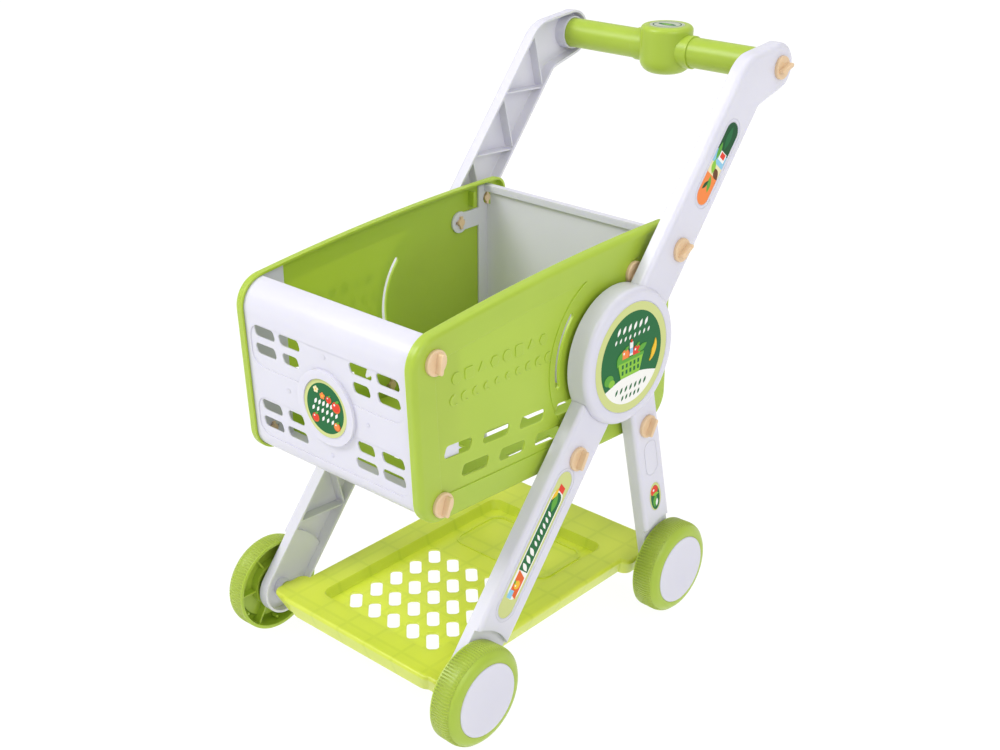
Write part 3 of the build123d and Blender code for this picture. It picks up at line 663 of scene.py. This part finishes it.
@dataclass(frozen=True)
class Facing:
    """Plane that a print lies on: where its middle is and which way it faces, in millimetres."""

    centre: tuple[float, float, float]
    across: Vector
    up: Vector

    def place(self, point: Point, height: float) -> Vector:
        """Put a point of the print into the trolley's frame.

        Args:
            point: Place on the print, across and up.
            height: How far it stands out of the plane.

        Returns:
            The place in metres.
        """
        out = self.across.cross(self.up)
        spot = Vector(self.centre) + self.across * point[0] + self.up * point[1] + out * height
        return spot * MM


@dataclass
class Print:
    """A printed sticker face made of thin layers of ink."""

    name: str
    body: str
    material_slot: str
    facing: Facing
    shapes: list[Shape]
    base_mm: float = 0.02
    layer_mm: float = 0.012

    def build(self, vinyl: bpy.types.Material) -> bpy.types.Object:
        """Build the print as closed thin layers, one above the other.

        Args:
            vinyl: Finish of the print.

        Returns:
            The printed piece, riding on its body.
        """
        mesh = bpy.data.meshes.new(self.name)
        work = bmesh.new()
        inks = work.faces.layers.int.new(INK_ATTRIBUTE + "_index")
        order = list(Ink)
        for level, shape in enumerate(self.shapes):
            top = self.base_mm + self.layer_mm * (level + 1)
            low = [work.verts.new(self.facing.place(p, 0.0)) for p in shape.outline]
            high = [work.verts.new(self.facing.place(p, top)) for p in shape.outline]
            faces = [work.faces.new(high), work.faces.new(low[::-1])]
            count = len(low)
            for i in range(count):
                j = (i + 1) % count
                faces.append(work.faces.new((low[i], low[j], high[j], high[i])))
            for face in faces:
                face[inks] = order.index(shape.ink)
        bmesh.ops.triangulate(work, faces=work.faces[:])
        bmesh.ops.recalc_face_normals(work, faces=work.faces[:])
        work.to_mesh(mesh)
        picked = [face[inks] for face in work.faces]
        work.free()
        colours = mesh.color_attributes.new(INK_ATTRIBUTE, "FLOAT_COLOR", "CORNER")
        for polygon, index in zip(mesh.polygons, picked):
            for corner in polygon.loop_indices:
                colours.data[corner].color = linear(order[index].value)
        piece = mesh_object(self.name, mesh, vinyl)
        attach(piece, self.body)
        LOG.info("print %s: %d shapes", self.name, len(self.shapes))
        return piece


def fruit(at: Point, radius: float, skin: Ink, shade: Ink) -> list[Shape]:
    """A round fruit with a shaded lower edge, a glint and a leaf.

    Args:
        at: Centre.
        radius: Its radius.
        skin: Ink of its body.
        shade: Ink of its shaded edge.

    Returns:
        Shapes from back to front.
    """
    x, y = at
    r = radius
    return [
        Shape(disc(at, r), shade),
        Shape(disc((x - r * 0.08, y + r * 0.1), r * 0.88), skin),
        Shape(disc((x - r * 0.35, y + r * 0.4), r * 0.2), Ink.WHITE),
        Shape(leaf((x + r * 0.3, y + r * 1.05), r * 1.1, r * 0.5, 30.0), Ink.LEAF),
    ]


def ripple(
    start: Point, end: Point, count: int, length: float, width: float, turn: float, ink: Ink
) -> list[Shape]:
    """Row of small plain leaves.

    Args:
        start: Centre of the first.
        end: Centre of the last.
        count: How many.
        length: Length of each.
        width: Width of each.
        turn: Direction of each in degrees.
        ink: Their ink.

    Returns:
        The row.
    """
    row = []
    for index in range(count):
        t = index / max(1, count - 1)
        at = (start[0] + t * (end[0] - start[0]), start[1] + t * (end[1] - start[1]))
        row.append(Shape(leaf(at, length, width, turn), ink))
    return row


def basket_picture(at: Point, size: float) -> list[Shape]:
    """Little open basket heaped with fruit.

    Args:
        at: Middle of its rim.
        size: Width of its rim.

    Returns:
        Shapes from back to front.
    """
    x, y = at
    s = size
    shapes = fruit((x - 0.22 * s, y + 0.13 * s), 0.17 * s, Ink.ORANGE, Ink.DEEP_ORANGE)
    shapes += [
        Shape(quad((x + 0.02 * s, y + 0.25 * s), 0.13 * s, 0.36 * s), Ink.WHITE),
        Shape(quad((x + 0.02 * s, y + 0.2 * s), 0.13 * s, 0.14 * s), Ink.BLUE),
        Shape(quad((x + 0.02 * s, y + 0.46 * s), 0.06 * s, 0.08 * s), Ink.RED),
    ]
    shapes += fruit((x + 0.24 * s, y + 0.12 * s), 0.16 * s, Ink.RED, Ink.DEEP_ORANGE)
    shapes += [
        Shape(leaf((x - 0.45 * s, y + 0.08 * s), 0.42 * s, 0.2 * s, 65.0), Ink.LEAF),
        Shape(leaf((x + 0.47 * s, y + 0.16 * s), 0.4 * s, 0.17 * s, 20.0), Ink.LEAF),
        Shape(quad((x, y - 0.24 * s), 0.9 * s, 0.46 * s, 0.0, 0.07 * s), Ink.LIME),
        Shape(quad((x, y), 1.08 * s, 0.09 * s), Ink.LEAF),
    ]
    # the holes in its side, in two rows of five
    for column in range(5):
        for row in range(2):
            hole = (x + (column - 2) * 0.16 * s, y - (0.15 + row * 0.17) * s)
            shapes.append(Shape(quad(hole, 0.075 * s, 0.11 * s), Ink.DARK_GREEN))
    return shapes


@dataclass
class Stickers:
    """All the printed stickers of the side frames, the front panel and the handle.

    Places in the drawings are millimetres from a sticker's middle; halves are half lengths and
    half widths.
    """

    finishes: Finishes
    hub_radius: float = 52.6
    hub_field_radius: float = 44.5
    foot_start: float = -148.0
    foot_sweep: float = 116.0
    foot_steps: int = 24
    brow_rise: float = 7.5
    brow_steps: int = 12
    arm_half: Point = (42.1, 10.1)
    front_leg_half: Point = (71.6, 10.9)
    front_leg_panel_half: Point = (53.5, 8.4)
    front_leg_field_half: Point = (51.0, 7.2)
    rear_leg_half: Point = (16.8, 8.8)
    rear_leg_field_half: Point = (14.8, 6.9)
    front_radius: float = 26.8
    front_field_radius: float = 23.2
    flower_petals: int = 5
    handle_radius: float = 17.2
    handle_ring: Point = (14.6, 13.4)
    rim_points: int = 72
    small_rim_points: int = 56
    handle_rim_points: int = 48
    lean: float = 50.3
    rear_leg_lean: float = 103.04

    def side_facing(self, node: str, side: Side, turn: float) -> Facing:
        """Facing of a sticker on a side frame.

        Args:
            node: CAD node of the sticker's vinyl.
            side: Side of the trolley.
            turn: Direction of the print's first axis, in degrees above the rear.

        Returns:
            A facing on the vinyl's outer face.
        """
        low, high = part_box(node)
        centre = (low + high) / 2 / MM
        outer = (high.x if side is Side.LEFT else low.x) / MM
        run = Vector((0.0, math.cos(math.radians(turn)), math.sin(math.radians(turn))))
        rise = Vector((0.0, -math.sin(math.radians(turn)), math.cos(math.radians(turn))))
        if side is Side.RIGHT:
            run = -run
        return Facing((outer, centre.y, centre.z), run, rise)

    def hub(self) -> list[Shape]:
        """Draw the round hub sticker.

        Returns:
            Its shapes from back to front.
        """
        field = self.hub_field_radius
        shapes = [
            Shape(disc((0, 0), self.hub_radius, count=self.rim_points), Ink.PALE_GREEN),
            Shape(disc((0, 0), field, count=self.rim_points), Ink.DARK_GREEN),
        ]
        # pale foot of the field, under a curved brow
        foot = []
        for index in range(self.foot_steps + 1):
            angle = math.radians(self.foot_start + index * self.foot_sweep / self.foot_steps)
            foot.append((field * math.cos(angle), field * math.sin(angle)))
        (left_x, _), (right_x, right_y) = foot[0], foot[-1]
        for index in range(1, self.brow_steps):
            t = index / self.brow_steps
            rise = self.brow_rise * math.sin(math.pi * t)
            foot.append((right_x + t * (left_x - right_x), right_y + rise))
        shapes.append(Shape(foot, Ink.WHITE))
        shapes += ripple((-20, 30), (20, 30), 6, 8.5, 3.6, 62.0, Ink.WHITE)
        shapes += ripple((-24, 21), (24, 21), 8, 5.2, 2.4, 62.0, Ink.WHITE)
        shapes += ripple((-21, -29), (21, -29), 7, 6.6, 2.6, 60.0, Ink.DARK_GREEN)
        shapes += ripple((-12, -37), (12, -37), 5, 5.4, 2.2, 60.0, Ink.DARK_GREEN)
        shapes += [
            Shape(disc((-33, -13), 6.5, 0.8), Ink.LEAF),
            Shape(disc((-29, -17), 4.5, 0.8), Ink.LIME),
        ]
        shapes += basket_picture((-2, 0), 36)
        shapes.append(Shape(crescent((22, 2), 15, -70, 25, 6.0), Ink.YELLOW))
        return shapes

    def arm(self) -> list[Shape]:
        """Draw the strip on the arm, from its lower end to its upper end.

        Returns:
            Its shapes from back to front.
        """
        return [
            Shape(pill(*self.arm_half, high=-12.5), Ink.ORANGE),
            Shape(pill(*self.arm_half, low=-12.5, high=-1.5), Ink.CREAM),
            Shape(pill(*self.arm_half, low=-1.5, high=11), Ink.BLUE),
            Shape(pill(*self.arm_half, low=11), Ink.DEEP_GREEN),
            Shape(leaf((-21, -1), 16, 6, 20.0), Ink.LEAF),
            Shape(leaf((-24, 4), 12, 4, -25.0), Ink.DEEP_GREEN),
            Shape(leaf((-9, -4), 14, 8, 60.0), Ink.BROWN),
            Shape(leaf((-5, 4), 14, 7, 20.0), Ink.LIME),
            Shape(quad((8, -2.5), 9, 11), Ink.WHITE),
            Shape(quad((9, -2.5), 5.5, 8), Ink.RED),
            Shape(leaf((10, 6), 18, 5.5, 5.0), Ink.LEAF),
            Shape(leaf((26, 1), 24, 8, 4.0), Ink.DARK_GREEN),
        ]

    def front_leg(self) -> list[Shape]:
        """Draw the long strip on the front leg, from its lower end to its upper end.

        Returns:
            Its shapes from back to front.
        """
        shapes = [
            Shape(pill(*self.front_leg_half), Ink.PALE_GREEN),
            Shape(pill(*self.front_leg_panel_half), Ink.WHITE),
            Shape(pill(*self.front_leg_field_half, low=-26), Ink.DARK_GREEN),
            Shape(quad((-39, -0.5), 21, 12.2, 2.5), Ink.DEEP_ORANGE),
            Shape(quad((-49, 3), 8, 7), Ink.BLUE),
        ]
        shapes += ripple((-22, 0), (-7, 0), 3, 12.0, 4.6, 62.0, Ink.WHITE)
        shapes += ripple((1, 0), (30, 0), 6, 8.2, 2.9, 62.0, Ink.WHITE)
        shapes += [
            Shape(leaf((41, 0.5), 18, 7, 8.0), Ink.LEAF),
            Shape(crescent((45, -9), 16.0, 50, 100, 4.4), Ink.YELLOW),
            Shape(quad((55, -1), 6, 9, 1.0), Ink.RED),
        ]
        shapes += fruit((-39, -0.5), 4.4, Ink.YELLOW, Ink.ORANGE)
        return shapes

    def rear_leg(self) -> list[Shape]:
        """Draw the leaf-shaped sticker on the rear leg, from its upper end down.

        Returns:
            Its shapes from back to front.
        """
        long, short = self.rear_leg_half
        field_long, field_short = self.rear_leg_field_half
        return [
            Shape(disc((0, 0), long, short / long), Ink.PALE_GREEN),
            Shape(disc((-1.0, 0), field_long, field_short / field_long), Ink.DARK_GREEN),
            Shape(leaf((-5, 0.8), 15, 6.5, -12.0), Ink.LEAF),
            Shape(leaf((-8, -1.5), 9, 3.5, -12.0), Ink.WHITE),
            Shape(disc((7.5, 0.5), 5.6), Ink.RED),
            Shape(disc((8.4, 1.6), 1.3), Ink.WHITE),
            Shape(leaf((2.4, -1.0), 10, 3.8, 75.0), Ink.LIME),
        ]

    def front(self) -> list[Shape]:
        """Draw the round sticker on the front panel.

        Returns:
            Its shapes from back to front.
        """
        rim = self.small_rim_points
        shapes = [
            Shape(disc((0, 0), self.front_radius, count=rim), Ink.PALE_GREEN),
            Shape(disc((0, 0), self.front_field_radius, count=rim), Ink.DARK_GREEN),
        ]
        shapes += ripple((-12, 4), (8, 4), 5, 6.4, 2.8, 62.0, Ink.WHITE)
        shapes += ripple((-15, -3), (14, -3), 6, 6.0, 2.6, 62.0, Ink.WHITE)
        shapes += ripple((-3, -10.5), (9, -10.5), 3, 5.8, 2.4, 62.0, Ink.WHITE)
        # two small flowers
        for at, skin in (((-11, 15), Ink.CREAM), ((-3, 11), Ink.ORANGE)):
            for index in range(self.flower_petals):
                angle = math.radians(index * 360 / self.flower_petals + 18)
                petal = spot_on_circle(at, 2.0, angle)
                shapes.append(Shape(disc(petal, 1.3, count=12), skin))
            shapes.append(Shape(disc(at, 1.0, count=12), Ink.YELLOW))
        shapes += fruit((14, 5), 5.2, Ink.RED, Ink.DEEP_ORANGE)
        shapes += fruit((5, 9.5), 3.3, Ink.RED, Ink.DEEP_ORANGE)
        shapes += fruit((-12.5, -12), 4.2, Ink.RED, Ink.DEEP_ORANGE)
        shapes += fruit((14.5, -13), 3.9, Ink.ORANGE, Ink.DEEP_ORANGE)
        return shapes

    def handle(self) -> list[Shape]:
        """Draw the small round sticker on top of the handle's boss.

        Returns:
            Its shapes from back to front.
        """
        ring_outer, ring_inner = self.handle_ring
        rim = self.handle_rim_points
        return [
            Shape(disc((0, 0), self.handle_radius, count=rim), Ink.GREY),
            Shape(disc((0, 0), ring_outer, count=rim), Ink.DEEP_GREEN),
            Shape(disc((0, 0), ring_inner, count=rim), Ink.GREY),
            Shape(disc((0, 0), 10.5, 0.42), Ink.DARK_GREEN),
            Shape(leaf((0, 0), 14, 4.2, 0.0), Ink.LIME),
        ]

    def build(self) -> list[bpy.types.Object]:
        """Build every sticker's print.

        Returns:
            The printed pieces.
        """
        prints = []
        for side in Side:
            per_side = (
                ("hub_label", "hub_sticker", self.hub(), 0.0),
                ("arm_label", "strip_sticker", self.arm(), self.lean),
                ("front_leg_label", "strip_sticker", self.front_leg(), self.lean),
                ("rear_leg_label", "strip_sticker", self.rear_leg(), self.rear_leg_lean),
            )
            for node, slot, shapes, turn in per_side:
                facing = self.side_facing(f"{node}_{side.word}", side, turn)
                prints.append(Print(f"{node}_print_{side.word}", "cart", slot, facing, shapes))
        low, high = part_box("front_badge")
        centre = (low + high) / 2 / MM
        front = Facing((0.0, low.y / MM, centre.z), Vector((1, 0, 0)), Vector((0, 0, 1)))
        prints.append(
            Print("front_badge_print", "cart", "front_sticker", front, self.front())
        )
        low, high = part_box("handle_badge")
        centre = (low + high) / 2 / MM
        top = Facing((0.0, centre.y, high.z / MM), Vector((1, 0, 0)), Vector((0, 1, 0)))
        prints.append(
            Print("handle_badge_print", "cart", "handle_sticker", top, self.handle())
        )
        return [item.build(self.finishes.vinyl) for item in prints]


# -------- geometry nodes
class RibTree:
    """Geometry Nodes tree that repeats one rib or pad round an axle along X."""

    def __init__(self) -> None:
        """Build the tree with its named inputs."""
        tree = bpy.data.node_groups.new("ribs_round_axle", "GeometryNodeTree")
        face = tree.interface
        face.new_socket("Geometry", in_out="INPUT", socket_type="NodeSocketGeometry")
        face.new_socket("Count", in_out="INPUT", socket_type="NodeSocketInt")
        face.new_socket("Axle", in_out="INPUT", socket_type="NodeSocketVector")
        face.new_socket("Finish", in_out="INPUT", socket_type="NodeSocketMaterial")
        face.new_socket("Geometry", in_out="OUTPUT", socket_type="NodeSocketGeometry")
        given = add_node(tree, "NodeGroupInput")
        points = add_node(tree, "GeometryNodePoints", {"Count": given.outputs["Count"]})
        index = add_node(tree, "GeometryNodeInputIndex")
        step = add_node(
            tree, "ShaderNodeMath", {1: given.outputs["Count"]}, {0: math.tau},
            operation="DIVIDE",
        )
        angle = add_node(
            tree, "ShaderNodeMath", {0: index.outputs["Index"], 1: step.outputs["Value"]},
            operation="MULTIPLY",
        )
        turn = add_node(tree, "ShaderNodeCombineXYZ", {"X": angle.outputs["Value"]})
        repeated = add_node(
            tree, "GeometryNodeInstanceOnPoints",
            {
                "Points": points.outputs["Points"],
                "Instance": given.outputs["Geometry"],
                "Rotation": turn.outputs["Vector"],
            },
        )
        placed = add_node(
            tree, "GeometryNodeTransform",
            {"Geometry": repeated.outputs["Instances"], "Translation": given.outputs["Axle"]},
        )
        real = add_node(
            tree, "GeometryNodeRealizeInstances", {"Geometry": placed.outputs["Geometry"]},
        )
        dressed = add_node(
            tree, "GeometryNodeSetMaterial",
            {"Geometry": real.outputs["Geometry"], "Material": given.outputs["Finish"]},
        )
        add_node(tree, "NodeGroupOutput", {"Geometry": dressed.outputs["Geometry"]})
        self.tree = tree

    def run(
        self, name: str, one: bpy.types.Mesh, count: int, axle: Vector, finish: bpy.types.Material
    ) -> bpy.types.Object:
        """Repeat one rib or pad round an axle and return the result as a plain piece.

        Args:
            name: Piece name.
            one: Mesh of one of them, drawn round the origin's X axis.
            count: How many.
            axle: Centre in metres.
            finish: Their material.

        Returns:
            The finished piece at the origin.
        """
        seed = put_in_scene(name + "_seed", one)
        modifier = seed.modifiers.new("ribs", "NODES")
        modifier.node_group = self.tree
        wanted = {"Count": count, "Axle": tuple(axle), "Finish": finish}
        for item in self.tree.interface.items_tree:
            if item.in_out == "INPUT" and item.name in wanted:
                modifier[item.identifier] = wanted[item.name]
        graph = bpy.context.evaluated_depsgraph_get()
        mesh = bpy.data.meshes.new_from_object(seed.evaluated_get(graph))
        mesh.name = name
        seed.modifiers.clear()
        bpy.data.objects.remove(seed)
        return mesh_object(name, mesh, *([] if mesh.materials else [finish]))


# -------- wheels
@dataclass
class Wheels:
    """What the mould leaves on the four wheels: fine tread ribs and ejector-pin pads."""

    finishes: Finishes
    rib_tree: RibTree
    rib_count: int = 100
    rib_width: float = 1.5
    rib_height: float = 0.45
    rib_sink: float = 0.4
    rib_flank: float = 0.6
    rib_end_fade: float = 0.25
    inner_margin: float = 1.2
    shoulder_radius: float = 11.0
    shoulder_reach: float = 34.0
    shoulder_steps: int = 7
    ejector_count: int = 6
    ejector_radius: float = 1.5
    ejector_circle: float = 40.5
    ejector_setback: float = 5.4
    ejector_depth: float = 8.0
    ejector_edge: float = 0.3
    ejector_edge_share: float = 0.8
    ejector_sides: int = 16

    def rib(self, inner: float, outer: float, radius: float) -> bpy.types.Mesh:
        """Mesh of one rib, which follows the tread and wraps over its rounded shoulder.

        Args:
            inner: X of the tread's inner edge.
            outer: X of the wheel's outer face; the sign of outer - inner gives the side.
            radius: Wheel radius.

        Returns:
            A closed mesh drawn round the origin's X axis, in metres.
        """
        away = 1.0 if outer > inner else -1.0
        bend = self.shoulder_radius
        turn_x = outer - away * bend
        path = [(inner + away * self.inner_margin, radius, 90.0), (turn_x, radius, 90.0)]
        for step in range(1, self.shoulder_steps + 1):
            angle = 90.0 - self.shoulder_reach * step / self.shoulder_steps
            spread = bend * math.cos(math.radians(angle))
            rise = bend * math.sin(math.radians(angle))
            path.append((turn_x + away * spread, radius - bend + rise, angle))
        work = bmesh.new()
        rings = []
        for index, (x, r, angle) in enumerate(path):
            fade = self.rib_end_fade if index in (0, len(path) - 1) else 1.0
            push_x = away * math.cos(math.radians(angle))
            push_r = math.sin(math.radians(angle))
            flank = self.rib_height * self.rib_flank * fade
            crest = self.rib_height * fade
            ring = []
            for height, half in (
                (-self.rib_sink, self.rib_width / 2),
                (flank, self.rib_width / 2),
                (crest, self.rib_width / 4),
                (crest, -self.rib_width / 4),
                (flank, -self.rib_width / 2),
                (-self.rib_sink, -self.rib_width / 2),
            ):
                spot = Vector((x + push_x * height, half, r + push_r * height))
                ring.append(work.verts.new(spot * MM))
            rings.append(ring)
        skin_rings(work, rings)
        return finished_mesh("rib", work, smooth=True)

    def ejector(self, inner: float, away: float) -> bpy.types.Mesh:
        """Mesh of one round ejector-pin pad, left by the mould at the end of a rib.

        Args:
            inner: X of the wheel's open inner edge.
            away: 1 when the wheel's outer side is towards +X, else -1.

        Returns:
            A closed mesh drawn round the origin's X axis, in metres.
        """
        work = bmesh.new()
        start = inner + away * self.ejector_setback
        rings = []
        for x, radius in (
            (start, self.ejector_radius * self.ejector_edge_share),
            (start + away * self.ejector_edge, self.ejector_radius),
            (start + away * self.ejector_depth, self.ejector_radius),
        ):
            ring = []
            for index in range(self.ejector_sides):
                angle = math.tau * index / self.ejector_sides
                y, z = spot_on_circle((0.0, self.ejector_circle), radius, angle)
                ring.append(work.verts.new(Vector((x, y, z)) * MM))
            rings.append(ring)
        skin_rings(work, rings)
        return finished_mesh("ejector", work)

    def build(self) -> list[bpy.types.Object]:
        """Build the tread and the ejector-pin pads of each wheel.

        Returns:
            The pieces, each riding on its wheel.
        """
        pieces = []
        for end in End:
            for side in Side:
                place = f"{end.value}_{side.word}"
                low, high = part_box(f"wheel_{place}")
                axle = Vector((0.0, (low.y + high.y) / 2, (low.z + high.z) / 2))
                radius = (high.z - low.z) / 2 / MM
                inner, outer = (low.x, high.x) if side is Side.LEFT else (high.x, low.x)
                repeats = (
                    ("tread", self.rib(inner / MM, outer / MM, radius), self.rib_count),
                    ("ejector_pads", self.ejector(inner / MM, side.value), self.ejector_count),
                )
                for name, one, count in repeats:
                    piece = self.rib_tree.run(
                        f"{name}_{place}", one, count, axle, self.finishes.lime
                    )
                    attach(piece, f"{place}_wheel")
                    LOG.info("%s %s: %d", name, place, count)
                    pieces.append(piece)
        return pieces


@dataclass
class GateMarks:
    """Round gate and clip marks that the mould leaves on the front panel, around its boss."""

    finishes: Finishes
    panel: bpy.types.Object
    radius: float = 2.0
    height: float = 0.35
    shoulder: float = 0.6
    crown: float = 0.6
    sink: float = 0.8
    approach: float = 50.0
    sideways: float = 50.0
    upright: float = 47.0
    sides: int = 20

    def build(self) -> bpy.types.Object:
        """Build the four marks as low domes on the front wall.

        Returns:
            The marks, riding on the trolley's body.
        """
        low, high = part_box("front_badge")
        centre_z = (low.z + high.z) / 2 / MM
        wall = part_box("basket_front_panel")[0].y / MM
        places = (
            (self.sideways, 0.0), (-self.sideways, 0.0), (0.0, self.upright), (0.0, -self.upright),
        )
        work = bmesh.new()
        for x, z in places:
            spot_z = centre_z + z
            spot_y = self.wall_y(wall, x, spot_z)
            rings = []
            for lift, share in (
                (-self.sink, 1.0), (self.height * self.shoulder, 1.0), (self.height, self.crown),
            ):
                ring = []
                for index in range(self.sides):
                    angle = math.tau * index / self.sides
                    rim_x, rim_z = spot_on_circle((x, spot_z), self.radius * share, angle)
                    ring.append(work.verts.new(Vector((rim_x, spot_y - lift, rim_z)) * MM))
                rings.append(ring)
            skin_rings(work, rings)
        mesh = finished_mesh("gate_marks", work)
        piece = mesh_object("gate_marks", mesh, self.finishes.white)
        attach(piece, "cart")
        LOG.info("gate marks: %d domes", len(places))
        return piece

    def wall_y(self, start: float, x: float, z: float) -> float:
        """Find the front wall's outer face at a place.

        Args:
            start: Y in front of the whole panel.
            x: Sideways place.
            z: Height.

        Returns:
            Y of the first face met from the front, in millimetres.
        """
        origin = Vector((x, start - self.approach, z)) * MM
        hit, spot, _, _ = self.panel.ray_cast(origin, Vector((0.0, 1.0, 0.0)))
        if not hit:
            raise RuntimeError("no front wall at the gate mark")
        return spot.y / MM


# -------- CAD nodes
@dataclass
class Mouldings:
    """The CAD nodes, each given the finish of its plastic."""

    nodes: dict[str, bpy.types.Object]
    record: dict
    finishes: Finishes

    def finish_of(self, slot: str) -> bpy.types.Material:
        """Find the material for one of the record's slots.

        Args:
            slot: Name of the slot.

        Returns:
            Its finish; a sticker's blank vinyl is white.
        """
        table = {
            "white_plastic": self.finishes.white,
            "lime_plastic": self.finishes.lime,
            "tray_plastic": self.finishes.tray,
            "cream_plastic": self.finishes.cream,
        }
        return table.get(slot, self.finishes.white)

    def dress(self) -> None:
        """Give every node its finish, leaving its mesh as it is."""
        slots = {row["node"]: row["material_slot"] for row in self.record["subparts"]}
        for name, node in sorted(self.nodes.items()):
            finish = self.finish_of(slots.get(name, "white_plastic"))
            if not node.data.materials:
                node.data.materials.append(finish)
            for holder in node.material_slots:
                holder.link = "OBJECT"
                holder.material = finish
            LOG.info("dressed %s with %s", name, finish.name)


# -------- studio
@dataclass(frozen=True)
class SoftLight:
    """Square soft light: its place and side in metres and its power in watts."""

    name: str
    at: tuple[float, float, float]
    size: float
    power: float


@dataclass
class Studio:
    """Glowing table, soft lights and the camera."""

    camera_at: tuple[float, float, float] = (0.85467, -0.97391, 0.82945)
    azimuth: float = 41.91
    elevation: float = 24.35
    lens: float = 52.3
    sensor_width: float = 36.0
    floor_z: float = -0.0005
    floor_radius: float = 12.0
    floor_sides: int = 64
    sky_strength: float = 0.62
    lit_height: float = 0.25
    lights: tuple[SoftLight, ...] = (
        SoftLight("key", (-1.3, -2.0, 2.6), 1.6, 60.0),
        SoftLight("fill", (2.6, -0.9, 1.9), 2.0, 28.0),
        SoftLight("top", (0.2, 0.6, 3.0), 2.4, 14.0),
    )

    def build(self) -> None:
        """Build the floor, the lights, the world and the camera."""
        self.build_floor()
        for light in self.lights:
            self.build_light(light)
        world = bpy.data.worlds.new("studio")
        world.use_nodes = True
        world.node_tree.nodes.clear()
        sky = add_node(
            world.node_tree, "ShaderNodeBackground", None,
            {"Color": SOLID_WHITE, "Strength": self.sky_strength},
        )
        add_node(world.node_tree, "ShaderNodeOutputWorld", {"Surface": sky.outputs["Background"]})
        bpy.context.scene.world = world
        bpy.context.scene.view_settings.view_transform = "Standard"
        self.build_camera()

    def build_floor(self) -> None:
        """Lay the opal acrylic table as the floor."""
        mesh = bpy.data.meshes.new("floor")
        work = bmesh.new()
        bmesh.ops.create_circle(
            work, cap_ends=True, radius=self.floor_radius, segments=self.floor_sides
        )
        work.to_mesh(mesh)
        work.free()
        mesh.transform(Matrix.Translation((0, 0, self.floor_z)))
        mesh_object("floor", mesh, OpalTable().build())

    def build_light(self, light: SoftLight) -> None:
        """Hang one soft light that looks at the trolley.

        Args:
            light: The light.
        """
        lamp = bpy.data.lights.new(light.name, "AREA")
        lamp.size = light.size
        lamp.energy = light.power
        holder = put_in_scene(light.name, lamp)
        holder.location = light.at
        aim = Vector((0.0, 0.0, self.lit_height)) - Vector(light.at)
        holder.rotation_euler = aim.to_track_quat("-Z", "Y").to_euler()

    def build_camera(self) -> None:
        """Set the camera at its place, looking down at the trolley's front left corner."""
        azimuth, elevation = math.radians(self.azimuth), math.radians(self.elevation)
        back = Vector((
            math.sin(azimuth) * math.cos(elevation),
            -math.cos(azimuth) * math.cos(elevation),
            math.sin(elevation),
        ))
        data = bpy.data.cameras.new("camera")
        data.lens = self.lens
        data.sensor_width = self.sensor_width
        camera = put_in_scene("camera", data)
        camera.location = self.camera_at
        camera.rotation_euler = back.to_track_quat("Z", "Y").to_euler()
        bpy.context.scene.camera = camera


def main() -> None:
    """Load the frame, dress it, add every piece and build the studio."""
    logging.basicConfig(level=logging.INFO, format="%(name)s: %(message)s")
    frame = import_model()
    finishes = Finishes.build()
    Mouldings(frame["nodes"], frame["record"], finishes).dress()
    Wheels(finishes, RibTree()).build()
    Stickers(finishes).build()
    GateMarks(finishes, frame["nodes"]["basket_front_panel"]).build()
    Studio().build()
    bpy.context.view_layer.update()
    LOG.info("boxes noted")


if __name__ == "__main__":
    main()
